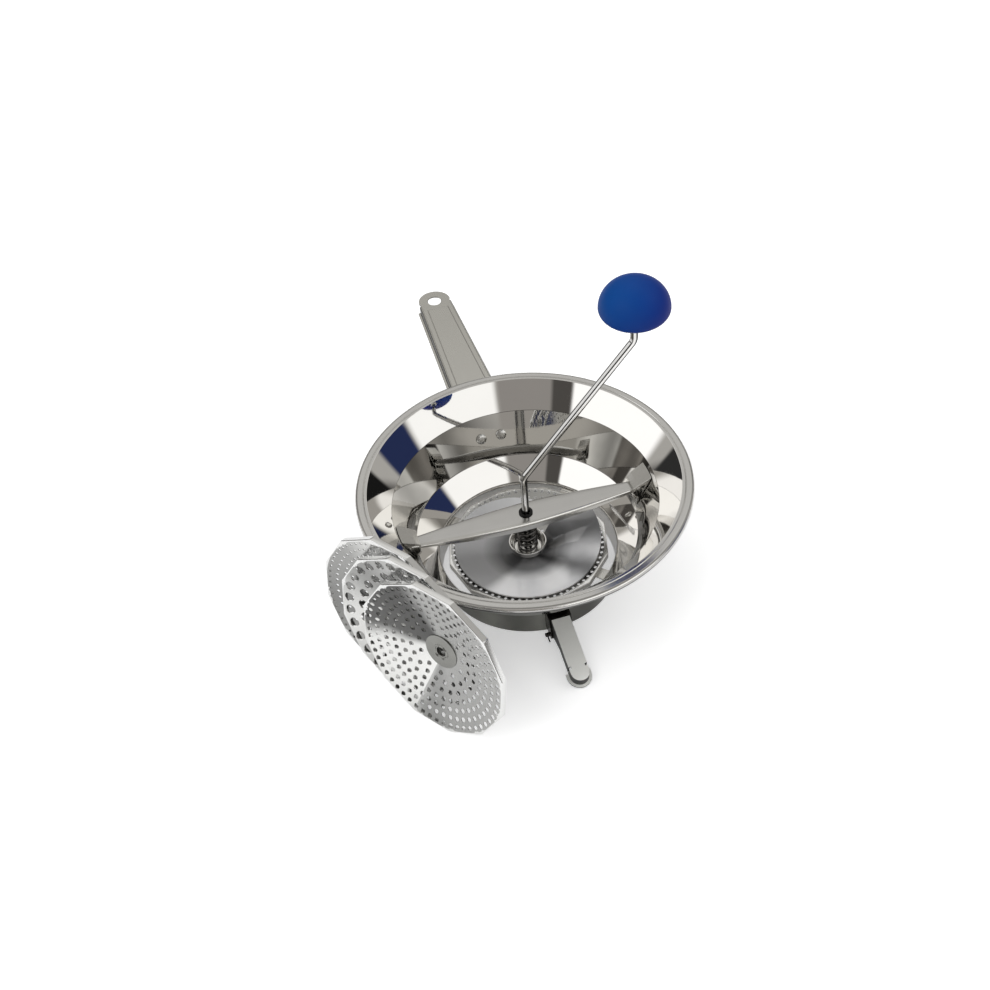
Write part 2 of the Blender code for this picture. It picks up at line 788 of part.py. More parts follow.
def make_leg_pin(parent):
    """Hinge pin with a round head on one end and a split pin through the other."""
    half = bracket_half + gap
    reach = leg_pin_length / 2.0
    radius = leg_pin_radius
    crown = leg_pin_head_radius * leg_pin_crown_share
    point = radius * leg_pin_point_share
    profile = [(0.0, half + leg_pin_head), (crown, half + leg_pin_head),
               (leg_pin_head_radius, half + leg_pin_head / 2.0), (leg_pin_head_radius, half),
               (radius, half), (radius, point - radius - reach), (point, -reach), (0.0, -reach)]
    place = Matrix.Translation((0.0, -leg_pin_reach, leg_pin_height)) @ Matrix.Rotation(math.pi / 2.0, 4, "Y")
    mesh = turned_mesh("leg_hinge_pin", profile, small_steps)
    mesh.transform(place)
    pin = add_object("leg_hinge_pin", mesh, satin("pin steel"), parent)
    cotter_x = -(bracket_half + reach) / 2.0
    hole = turned_mesh("cotter_hole", [(0.0, overrun), (cotter_radius + gap, overrun),
                                       (cotter_radius + gap, -overrun), (0.0, -overrun)], hole_sides * 2)
    hole.transform(Matrix.Translation((cotter_x, -leg_pin_reach, leg_pin_height)))
    boolean(pin, cutter_object("cotter_hole", hole, parent), "DIFFERENCE")
    top = leg_pin_height + leg_pin_radius + cotter_radius * 2.0
    low = leg_pin_height - leg_pin_radius - cotter_radius * 3.0
    upper, lower = [-leg_pin_reach - cotter_length * share for share in cotter_leg_shares]
    corners = [(cotter_x, upper, top), (cotter_x, -leg_pin_reach, top), (cotter_x, -leg_pin_reach, low),
               (cotter_x, lower, low - cotter_radius)]
    tube_object("leg_pin_cotter", rod_points(corners, cotter_radius * cotter_bend_share, 3), cotter_radius,
                satin("cotter steel"), parent, 1)
    return pin


def make_bracket_rivets(parent, drilled):
    """Two rivets through the neck and the bracket's back plate, one above the other."""
    flat = Vector((0.0, -1.0, 0.0))
    middle = (leg_pin_height + bracket_top) / 2.0 - bracket_sheet
    places = []
    for side in (-1, 1):
        height = middle + side * bracket_rivet_spacing / 2.0
        places.append((flat * (neck_radius + gap + bracket_sheet) + Vector((0.0, 0.0, height)), flat))
    make_rivets(("bracket_rivet_lower", "bracket_rivet_upper"), places, bracket_sheet + gap + sheet,
                small_rivet_share, parent, drilled)


def bar_half_width(share):
    return (bar_end_width + (bar_mid_width - bar_end_width) * (1.0 - share ** bar_taper_power)) / 2.0


def bar_flange(share):
    return bar_end_flange + (bar_mid_flange - bar_end_flange) * (1.0 - share * share)


def make_cross_bar(parent):
    """Lens-shaped strip across the bowl with turned-down edges, flat at both ends."""
    top = bar_top - bar_sheet / 2.0
    half = bar_sheet / 2.0
    stations = 16
    rows = []
    for k in range(stations + 1):
        share = abs(2.0 * k / stations - 1.0)
        x = bar_half_length * (2.0 * k / stations - 1.0)
        wide = bar_half_width(share) - half
        low = bar_top - max(bar_flange(share), bar_sheet * bar_lip_share)
        rows.append([(x, -wide, low), (x, -wide, top), (x, 0.0, top), (x, wide, top), (x, wide, low)])
    bar = add_object("cross_bar", sheet_mesh("cross_bar", rows), satin("bar steel"), parent)
    solidify(bar, bar_sheet)
    hole = prism_mesh("bar_hole", circle_outline(0.0, 0.0, bush_radius + gap, turned_steps),
                      bar_top - bar_mid_flange, bar_top + overrun)
    boolean(bar, cutter_object("bar_hole", hole, parent), "DIFFERENCE")
    return bar


def make_bar_bush(parent):
    """Flanged bush in the bar's hole, which guides the crank."""
    bore = rod_radius + running_gap
    low = bar_top - bar_sheet - gap
    seat = bar_top + gap
    top = seat + bush_flange
    profile = [(bore, top), (bush_flange_radius * bush_crown_share, top),
               (bush_flange_radius, seat + bush_flange / 2.0), (bush_flange_radius, seat),
               (bush_radius, seat), (bush_radius, low), (bore, low)]
    mesh = turned_mesh("bar_bush", profile, ring_steps)
    return add_object("bar_bush", mesh, material("bush", (0.06, 0.06, 0.065), 0.4, 0.9), parent)


def make_bar_clip(name, middle, parent):
    """Faceted strap on the wall whose two jaws close over and under the bar's end."""
    slot_high = bar_top + gap
    slot_low = bar_top - max(bar_end_flange, bar_sheet * bar_lip_share) - 3.0 * gap
    high = bar_top + clip_height * clip_rise_share
    low = high - clip_height
    face = bar_half_length - clip_reach * clip_lap_share
    bend = face + clip_reach * clip_facet_share
    bend_inside = bend + clip_sheet / 2.0
    mid_high = slot_high + clip_jaw / 2.0
    mid_low = slot_low - clip_jaw / 2.0
    corner = clip_jaw / 6.0
    corner_inside = clip_jaw / 3.0
    crease = clip_sheet / 3.0

    def wall(height):
        return wall_inner_radius(height) - wall_gap / math.cos(wall_lean)

    outer = [(wall(high), high), (bend, mid_high + clip_sheet), (face, mid_high - corner), (face, slot_high)]
    inner = [(face + clip_sheet, slot_high), (face + clip_sheet, mid_high - corner_inside),
             (bend_inside, mid_high - crease), (wall(mid_high) - clip_sheet, mid_high + clip_sheet)]
    lower_inner = [(wall(mid_low) - clip_sheet, mid_low - clip_sheet), (bend_inside, mid_low + crease),
                   (face + clip_sheet, mid_low + corner_inside), (face + clip_sheet, slot_low)]
    lower_outer = [(face, slot_low), (face, mid_low + corner), (bend, mid_low - clip_sheet), (wall(low), low)]
    profile = outer + inner + lower_inner + lower_outer
    half_angle = clip_width / 2.0 / wall(bar_top)
    return add_object(name, swept_mesh(name, profile, middle, half_angle, 4), satin(name + " steel"), parent)


def make_crank_rod(axis):
    """Bent rod: shaft down through the rotor and disc, sloping arm, and the knob's stem."""
    stem_top = knob_low + knob_bore_depth - 2.0 * knob_nut
    corners = [(0.0, 0.0, disc_face_height - shaft_reach), (0.0, 0.0, crank_bend_height),
               (crank_radius, 0.0, arm_top_height), (crank_radius, 0.0, stem_top)]
    return tube_object("crank_rod", rod_points(corners, bend_radius, 7), rod_radius,
                       polished("rod steel"), axis, 3)


def make_knob(axis):
    """Mushroom knob, moulded in one piece round a blind bore with a pocket for the push nut."""
    widest = knob_centre_height - knob_under * knob_band_share
    dome = []
    for k in range(9):
        angle = math.pi / 2.0 * (1.0 - k / 8.0)
        dome.append((knob_radius * math.cos(angle) if k else 0.0, widest + knob_dome * math.sin(angle)))
    belly = []
    for k in range(1, 6):
        angle = math.pi / 2.0 * k / 5.0
        belly.append((knob_foot_radius + (knob_radius - knob_foot_radius) * math.cos(angle),
                      widest - (widest - knob_low) * math.sin(angle)))
    bore = rod_radius + gap
    top = knob_low + knob_bore_depth
    pocket_low = top - 4.0 * knob_nut
    pocket = knob_nut_radius + gap
    inside = [(bore, knob_low), (bore, pocket_low), (pocket, pocket_low), (pocket, top), (0.0, top)]
    mesh = turned_mesh("knob", dome + belly + inside, turned_steps)
    return add_object("knob", mesh, material("blue plastic", (0.01, 0.05, 0.36), 0.25, 0.0), axis)


def make_knob_nut(axis):
    """Push nut on the stem's end, inside the knob, which keeps the knob on."""
    low = knob_low + knob_bore_depth - 4.0 * knob_nut + 2.0 * gap
    bore = rod_radius + gap
    profile = [(bore, low + knob_nut), (knob_nut_radius - knob_nut / 2.0, low + knob_nut),
               (knob_nut_radius, low + knob_nut / 2.0), (knob_nut_radius, low), (bore, low)]
    mesh = turned_mesh("knob_push_nut", profile, small_steps)
    mesh.transform(Matrix.Translation((crank_radius, 0.0, 0.0)))
    return add_object("knob_push_nut", mesh, satin("nut steel"), axis)


def make_knob_collar(axis):
    """Ring fixed on the stem, which carries the knob."""
    top = knob_low - gap
    bore = rod_radius + gap
    profile = [(bore, top), (collar_radius, top), (collar_radius, top - collar_height / 2.0),
               (collar_radius * collar_foot_share, top - collar_height), (bore, top - collar_height)]
    mesh = turned_mesh("knob_collar", profile, small_steps)
    mesh.transform(Matrix.Translation((crank_radius, 0.0, 0.0)))
    return add_object("knob_collar", mesh, satin("collar steel"), axis)


# Heights of the rotor, from the fitted disc upwards
disc_face_height = disc_seat_height - disc_dish
hub_top_height = disc_face_height + hub_washer
blade_bottom_height = hub_top_height + running_gap
blade_top_height = blade_bottom_height + blade_sheet
boss_rim_height = blade_top_height + boss_height
cup_floor_height = boss_rim_height - boss_cup_depth
seat_washer_height = cup_floor_height + gap
spring_low = seat_washer_height + spring_washer + gap
spring_washer_high = bar_top - bar_sheet - 2.0 * gap
spring_high = spring_washer_high - spring_washer - gap


def make_rotor_boss(axis):
    """Polished cup for the spring on a stem that stands on the blade."""
    bore = rod_radius + gap
    low = blade_top_height + gap
    floor = cup_floor_height
    waist = boss_stem_radius * boss_waist_share
    rows = 5
    inside = []
    outside = []
    flat = spring_washer_radius + gap
    for k in range(rows + 1):
        angle = math.pi / 2.0 * k / rows
        inside.append((flat + (boss_cup_radius - boss_sheet - flat) * math.sin(angle),
                       floor + boss_cup_depth * (1.0 - math.cos(angle))))
        outside.append((boss_stem_radius + (boss_cup_radius - boss_stem_radius) * math.sin(angle),
                        floor - boss_sheet + (boss_cup_depth + boss_sheet) * (1.0 - math.cos(angle))))
    profile = [(bore, floor)] + inside + outside[::-1]
    profile += [(waist, floor - 2.0 * boss_sheet), (waist, low + boss_sheet)]
    profile += [(boss_stem_radius, low), (bore, low)]
    mesh = turned_mesh("rotor_boss", profile, ring_steps + 4)
    return add_object("rotor_boss", mesh, polished("boss steel"), axis)


def face_height(radius):
    """Height of the fitted disc's upper face."""
    return disc_seat_height - dish_depth(radius)


def make_rotor_blade(axis):
    """One turn of dished sheet that lies close to the disc and climbs to a raised leading edge."""
    half = blade_sheet / 2.0
    columns = 36
    inner_radius = boss_stem_radius * blade_inner_share
    rows = []
    for k in range(columns + 1):
        share = k / columns
        angle = blade_start - blade_sweep * share
        lift = blade_rise * max(0.0, 1.0 - share / blade_climb_share) ** blade_climb_power
        trail = max(0.0, share - blade_trail_start_share) / (1.0 - blade_trail_start_share)
        edge = blade_radius * (1.0 - blade_trail_share * trail * trail)
        past_crease = abs(share - blade_crease_share) / blade_crease_width_share
        crease = blade_crease * max(0.0, 1.0 - past_crease)
        row = []
        for part in blade_row_shares:
            radius = inner_radius + (edge - inner_radius) * part
            height = face_height(radius) + hub_washer + running_gap + half
            height += lift * min(part / blade_full_lift_share, 1.0)
            height += crease * math.sin(math.pi * part)
            row.append((radius * math.cos(angle), radius * math.sin(angle), height))
        rows.append(row)
    bm = bmesh.new()
    grid = [[bm.verts.new(p) for p in row] for row in rows]
    for a, b in zip(grid, grid[1:]):
        for i in range(len(a) - 1):
            bm.faces.new((a[i], a[i + 1], b[i + 1], b[i]))
    centre = [row[0] for row in grid]
    level = centre[0].co.z
    bore = rod_radius + gap + half
    ring = []
    for vert in centre:
        flat = Vector((vert.co.x, vert.co.y, 0.0)).normalized() * bore
        ring.append(bm.verts.new((flat.x, flat.y, level)))
    for i in range(len(ring) - 1):
        bm.faces.new((ring[i], centre[i], centre[i + 1], ring[i + 1]))
    bm.faces.new((ring[-1], centre[-1], centre[0], ring[0]))
    blade = add_object("rotor_blade", finish_mesh("rotor_blade", bm), polished("blade steel"), axis)
    solidify(blade, blade_sheet)
    return blade


def make_washer(name, low, axis):
    bore = rod_radius + running_gap
    top = low + spring_washer
    bevel = spring_washer * washer_edge_share
    profile = [(bore, top), (spring_washer_radius - bevel, top), (spring_washer_radius, top - bevel),
               (spring_washer_radius, low), (bore, low)]
    return add_object(name, turned_mesh(name, profile, ring_steps), satin(name + " steel"), axis)


def make_spring(parent):
    """Open coil spring, pressed between the two washers, with its end turns drawn flat."""
    low = spring_low + spring_wire_radius
    high = spring_high - spring_wire_radius
    per_turn = 10
    count = round(spring_turns * per_turn)
    flat_share = closed_turn_share / spring_turns
    half_pitch = spring_wire_radius + gap
    points = []
    for k in range(count + 1):
        share = k / count
        angle = 2.0 * math.pi * spring_turns * share
        ease_in = min(share / flat_share, 1.0)
        ease_out = min((1.0 - share) / flat_share, 1.0)
        middle = (share - flat_share) / (1.0 - 2.0 * flat_share)
        middle = min(max(middle, 0.0), 1.0)
        climb = (high - low - 2.0 * half_pitch) * middle
        height = low + climb + half_pitch * (1.0 + ease_in ** 2 - ease_out ** 2)
        points.append(Vector((spring_radius * math.cos(angle), spring_radius * math.sin(angle), height)))
    print("least gap of the spring to itself, mm:", round(1000.0 * coil_gap(points, per_turn), 3))
    look = material("spring steel", (0.05, 0.05, 0.055), 0.35, 0.9)
    return tube_object("pressure_spring", points, spring_wire_radius, look, parent, 1)


def coil_gap(points, per_turn):
    """Least distance between the wire's surfaces on neighbouring turns."""
    least = math.inf
    for i, a in enumerate(points):
        for b in points[i + per_turn // 2:]:
            least = min(least, (a - b).length)
    return least - 2.0 * spring_wire_radius


def back_depth(radius):
    """How far the disc's back reaches behind its rim plane, with the turned-down rim."""
    if radius > disc_radius * math.cos(math.pi / disc_sides) - 2.0 * disc_sheet:
        return disc_flange
    return dish_depth(radius) + disc_sheet


def stack_reach(centre_height):
    """Distance from the bowl's axis at which the back disc's back just clears the rolled rim."""
    rise = bead_height - centre_height
    slope = math.cos(math.atan2(disc_dish, disc_cone_radius - hub_radius))
    least = 0.0
    for k in range(-90, 91):
        angle = math.radians(k * 0.5)
        across = bead_radius_from_axis * math.sin(angle) - back_shift
        need = disc_dish
        for _ in range(4):
            radius = math.hypot(across, rise / math.cos(lean_angle) + need * math.tan(lean_angle))
            need = back_depth(radius) + (bead_radius + gap) / slope
        if radius < disc_radius + bead_radius:
            here = bead_radius_from_axis * math.cos(angle) + rise * math.tan(lean_angle)
            least = max(least, here + need / math.cos(lean_angle))
    return least


def stand_in_stack(shift, layer_distance, parent, name):
    """Empty for a spare disc: it stands on one flat side and leans back towards the rim."""
    flat_side = disc_radius * math.cos(math.pi / disc_sides)
    centre_height = flat_side * math.cos(lean_angle) + disc_flange * math.sin(lean_angle)
    outward = Vector((math.cos(lean_azimuth), math.sin(lean_azimuth), 0.0))
    sideways = Vector((-math.sin(lean_azimuth), math.cos(lean_azimuth), 0.0))
    reach = stack_reach(centre_height) + layer_distance / math.cos(lean_angle)
    place = outward * reach + sideways * shift + Vector((0.0, 0.0, centre_height))
    normal = outward * math.cos(lean_angle) + Vector((0.0, 0.0, math.sin(lean_angle)))
    upward = Vector((0.0, 0.0, 1.0)) - normal * math.sin(lean_angle)
    upward.normalize()
    across = upward.cross(normal)
    frame = Matrix((across, upward, normal)).transposed().to_4x4()
    turn = Matrix.Rotation(math.pi / disc_sides + math.pi / 2.0, 4, "Z")
    made = bpy.data.objects.new(name, None)
    made.matrix_world = Matrix.Translation(place) @ frame @ turn
    made.parent = parent
    bpy.context.scene.collection.objects.link(made)
    return made


def layer_step(shift):
    """Distance between two leaning discs so that the front one's back clears the other's rim."""
    nearest = disc_cone_radius - abs(shift)
    slope = math.cos(math.atan2(disc_dish, disc_cone_radius - hub_radius))
    return gap + max(disc_flange, dish_depth(nearest) + (disc_sheet + gap) / slope)


bowl_axis = empty("bowl_axis", (0.0, 0.0, 0.0))
crank_axis = empty("crank_axis", (0.0, 0.0, 0.0), bowl_axis)
knob_axis = empty("knob_axis", (crank_radius, 0.0, 0.0), crank_axis)
leg_axis = empty("leg_axis", (0.0, -leg_pin_reach, leg_pin_height), bowl_axis, (leg_slope, 0.0, 0.0))
fitted_axis = empty("fitted_axis", (0.0, 0.0, disc_seat_height), bowl_axis)

bowl = make_bowl(bowl_axis)
handle = make_handle(bowl_axis)
make_handle_rivets(bowl_axis, (bowl, handle))
bracket = make_leg_bracket(bowl_axis)
make_bracket_rivets(bowl_axis, (bowl, bracket))
make_leg_pin(bowl_axis)
make_folding_leg(leg_axis)
make_seat_lugs(bowl_axis)
make_cross_bar(bowl_axis)
make_bar_bush(bowl_axis)
make_bar_clip("bar_clip_right", 0.0, bowl_axis)
make_bar_clip("bar_clip_left", math.pi, bowl_axis)

make_disc("fitted_disc", medium_hole_radius, (8, 12, 16), fitted_axis)
make_hub("fitted_disc_hub", fitted_axis)

first_step = layer_step(middle_shift - back_shift)
second_step = layer_step(front_shift - middle_shift)
back_place = stand_in_stack(back_shift, 0.0, bowl_axis, "back_disc_place")
middle_place = stand_in_stack(middle_shift, first_step, bowl_axis, "middle_disc_place")
front_place = stand_in_stack(front_shift, first_step + second_step, bowl_axis, "front_disc_place")
make_disc("fine_disc", fine_hole_radius, (8, 14, 20), back_place)
make_hub("fine_disc_hub", back_place)
make_disc("coarse_disc", coarse_hole_radius, (12, 18, 24, 30), middle_place)
make_hub("coarse_disc_hub", middle_place)
make_disc("medium_disc", medium_hole_radius, (8, 14, 20), front_place)
make_hub("medium_disc_hub", front_place)

make_crank_rod(crank_axis)
make_rotor_boss(crank_axis)
make_rotor_blade(crank_axis)
make_washer("spring_seat_washer", seat_washer_height, crank_axis)
make_washer("spring_top_washer", spring_washer_high - spring_washer, bowl_axis)
make_spring(bowl_axis)
make_knob_collar(crank_axis)
make_knob_nut(crank_axis)
make_knob(knob_axis)

# The origin lies on the table, under the middle of the whole outline
bpy.context.view_layer.update()
evaluated = bpy.context.evaluated_depsgraph_get()
outline = []
for thing in bpy.context.scene.objects:
    if thing.type in ("MESH", "CURVE") and not thing.hide_render:
        solid = thing.evaluated_get(evaluated)
        outline += [solid.matrix_world @ vert.co for vert in solid.to_mesh().vertices]
        solid.to_mesh_clear()
for i in range(2):
    reach = [point[i] for point in outline]
    bowl_axis.location[i] = -(min(reach) + max(reach)) / 2.0
print("bowl axis, mm:", [round(1000.0 * v, 4) for v in bowl_axis.location])
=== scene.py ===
"""Looks of the food mill: fine meshes, procedural metals and plastic, and a plain pale studio."""

import json
import math

import bmesh
import bpy
import numpy as np
from mathutils import Matrix, Vector
from mathutils.geometry import delaunay_2d_cdt


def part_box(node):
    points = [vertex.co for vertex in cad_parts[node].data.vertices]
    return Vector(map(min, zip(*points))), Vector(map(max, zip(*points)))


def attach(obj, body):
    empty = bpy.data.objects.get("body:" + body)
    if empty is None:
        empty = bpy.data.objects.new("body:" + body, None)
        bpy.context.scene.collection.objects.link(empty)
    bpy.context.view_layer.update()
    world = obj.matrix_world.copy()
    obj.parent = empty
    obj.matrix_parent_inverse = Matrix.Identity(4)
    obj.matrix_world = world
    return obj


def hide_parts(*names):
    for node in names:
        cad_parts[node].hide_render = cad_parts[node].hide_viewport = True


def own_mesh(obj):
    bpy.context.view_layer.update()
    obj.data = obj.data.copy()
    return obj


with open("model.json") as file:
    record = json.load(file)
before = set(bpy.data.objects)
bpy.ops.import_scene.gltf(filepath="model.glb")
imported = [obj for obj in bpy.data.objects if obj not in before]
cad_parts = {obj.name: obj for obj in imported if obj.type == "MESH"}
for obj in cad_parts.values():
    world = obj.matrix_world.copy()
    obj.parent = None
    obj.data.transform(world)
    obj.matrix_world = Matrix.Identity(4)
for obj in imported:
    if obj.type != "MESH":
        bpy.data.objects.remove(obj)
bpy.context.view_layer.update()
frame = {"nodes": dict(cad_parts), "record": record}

# Places of the mechanism, from the frame
joints = {joint["name"]: joint for joint in frame["record"]["behaviour"]["joints"]}
AXIS_X, AXIS_Y, _ = joints["crank_spin"]["pos_m"]
CRANK_RADIUS = joints["knob_spin"]["pos_m"][0] - AXIS_X
BOWL_AXIS = Matrix.Translation((AXIS_X, AXIS_Y, 0.0))
KNOB_AXIS = Matrix.Translation((AXIS_X + CRANK_RADIUS, AXIS_Y, 0.0))

# Bowl
MILL_HEIGHT = 0.113
RIM_RADIUS = 0.1552
BEAD_RADIUS = 0.0032
BRIM_TOP_RADIUS = 0.1442
BRIM_FOOT_RADIUS = 0.1249
BRIM_FOOT_HEIGHT = MILL_HEIGHT - 0.0243
WALL_FOOT_RADIUS = 0.1060
WALL_FOOT_HEIGHT = BRIM_FOOT_HEIGHT - 0.0413
NECK_RADIUS = 0.0852
NECK_HEIGHT = 0.0270
SHEET = 0.0012
GAP = 0.0003

# Discs
DISC_SIDES = 12
DISC_RADIUS = 0.0780
DISC_SHEET = 0.0010
DISC_DISH = 0.0140
DISC_FLANGE = 0.0060
DISC_CORNER = 0.0040
DISC_FOLD = 0.0009
DISC_LAND = 0.0020
CONE_RADIUS = DISC_RADIUS * math.cos(math.pi / DISC_SIDES) - DISC_LAND
HUB_RADIUS = 0.0178
HUB_WASHER = 0.0012
HUB_HOLE_RADIUS = 0.0046
HUB_BEAD_RADIUS = 0.0068

# Handle
HANDLE_TOP = 0.0870
HANDLE_TIP_WIDTH = 0.0345
HANDLE_ROOT_WIDTH = 0.0475
HANDLE_LIP = 0.0030
HANDLE_SHEET = 0.0014

# Bar, crank and rotor
BAR_TOP = 0.0710
BAR_SHEET = 0.0015
BAR_MID_WIDTH = 0.0300
BAR_END_WIDTH = 0.0120
BAR_MID_FLANGE = 0.0080
BAR_END_FLANGE = 0.0024
BUSH_RADIUS = 0.0054
BUSH_FLANGE_RADIUS = 0.0066
ROD_RADIUS = 0.0034
BEND_RADIUS = 0.0110
BOSS_CUP_RADIUS = 0.0182
BOSS_STEM_RADIUS = 0.0105
BOSS_SHEET = 0.0016
BLADE_RADIUS = 0.0700
BLADE_SHEET = 0.0012
SPRING_RADIUS = 0.0088
SPRING_WIRE = 0.0011
SPRING_TURNS = 6.5
KNOB_RADIUS = 0.0310
KNOB_FOOT_RADIUS = 0.0105

# The photograph's camera, about the bowl's axis
CAMERA_PLACE = (-0.22881, -0.86602, 0.98487)
CAMERA_AIM = (-0.03002, -0.00909, MILL_HEIGHT)
CAMERA_ROLL = math.radians(-5.15)
SENSOR_WIDTH = 36.0
FOCAL_LENGTH = 49.704

# Light of the studio, and the cards that the metal mirrors:
# (azimuth, elevation), half sizes and softness of the edge in degrees, and tone
FLOOR_FILL = 0.42
MIRROR_FILL = 0.12
AMBIENT = 0.40
ROOM_TONE = (0.44, 0.43, 0.41)
CARDS = (
    ((0.0, 0.0), (181.0, 8.0), 5.0, (0.12, 0.115, 0.11)),
    ((-175.0, 29.0), (42.0, 20.0), 6.0, (1.25, 1.25, 1.25)),
    ((-53.0, 34.0), (34.0, 17.0), 6.0, (1.15, 1.15, 1.14)),
    ((75.0, 48.0), (38.0, 10.0), 8.0, (0.80, 0.79, 0.77)),
    ((-118.0, 28.0), (29.0, 28.0), 5.0, (0.30, 0.285, 0.27)),
    ((-140.0, 24.0), (8.0, 34.0), 4.0, (0.08, 0.075, 0.07)),
    ((-5.0, 18.0), (12.0, 12.0), 4.0, (0.02, 0.03, 0.09)),
    ((28.0, 6.0), (9.0, 9.0), 3.0, (0.01, 0.01, 0.01)),
    ((124.0, 6.0), (9.0, 9.0), 3.0, (0.03, 0.03, 0.03)),
)


# Materials
def node_tools(name):
    """A new material with its nodes, its links and its shader."""
    made = bpy.data.materials.new(name)
    made.use_nodes = True
    tree = made.node_tree
    return made, tree.nodes, tree.links, tree.nodes["Principled BSDF"]


def noise(nodes, links, vector, scale, detail):
    made = nodes.new("ShaderNodeTexNoise")
    made.inputs["Scale"].default_value = scale
    made.inputs["Detail"].default_value = detail
    links.new(vector, made.inputs["Vector"])
    return made.outputs["Fac"]


def ranged(nodes, links, value, low, high, to_low, to_high):
    made = nodes.new("ShaderNodeMapRange")
    made.inputs["From Min"].default_value = low
    made.inputs["From Max"].default_value = high
    made.inputs["To Min"].default_value = to_low
    made.inputs["To Max"].default_value = to_high
    links.new(value, made.inputs["Value"])
    return made.outputs["Result"]


def steel(name, tint, roughness, spread=0.03, grain=(0.0, 0.0, 0.0), bump=0.02, wear=0.10, sides=1.0):
    """Steel whose gloss varies with faint wear, with fine lines drawn out along the grain's axes.

    Faces that don't look up are darkened by the last value, which paints shade on the sides."""
    made, nodes, links, shader = node_tools(name)
    shader.inputs["Metallic"].default_value = 1.0
    place = nodes.new("ShaderNodeTexCoord").outputs["Object"]
    stretch = nodes.new("ShaderNodeMapping")
    stretch.inputs["Scale"].default_value = tuple(1.0 - 0.97 * axis for axis in grain)
    links.new(place, stretch.inputs["Vector"])
    lines = noise(nodes, links, stretch.outputs["Vector"], 1800.0, 2.0)
    clouds = noise(nodes, links, place, 42.0, 4.0)
    both = nodes.new("ShaderNodeMath")
    both.operation = "MULTIPLY"
    links.new(lines, both.inputs[0])
    links.new(clouds, both.inputs[1])
    rough = ranged(nodes, links, both.outputs["Value"], 0.15, 0.40, max(roughness - spread, 0.02), roughness + spread)
    links.new(rough, shader.inputs["Roughness"])
    tone = nodes.new("ShaderNodeMixRGB")
    tone.inputs["Color1"].default_value = (*[c * (1.0 - wear) for c in tint], 1.0)
    tone.inputs["Color2"].default_value = (*tint, 1.0)
    links.new(clouds, tone.inputs["Fac"])
    colour = tone.outputs["Color"]
    # Painted shade: faces that look less than up are multiplied by the sides value, so the sides render darker.
    if sides < 1.0:
        split = nodes.new("ShaderNodeSeparateXYZ")
        links.new(nodes.new("ShaderNodeTexCoord").outputs["Normal"], split.inputs["Vector"])
        side_shade = nodes.new("ShaderNodeMixRGB")
        side_shade.blend_type = "MULTIPLY"
        side_shade.inputs["Color2"].default_value = (sides, sides, sides, 1.0)
        links.new(ranged(nodes, links, split.outputs["Z"], 0.5, 0.9, 1.0, 0.0), side_shade.inputs["Fac"])
        links.new(colour, side_shade.inputs["Color1"])
        colour = side_shade.outputs["Color"]
    links.new(colour, shader.inputs["Base Color"])
    relief = nodes.new("ShaderNodeBump")
    relief.inputs["Strength"].default_value = bump
    relief.inputs["Distance"].default_value = 0.0001
    links.new(lines, relief.inputs["Height"])
    links.new(relief.outputs["Normal"], shader.inputs["Normal"])
    return made


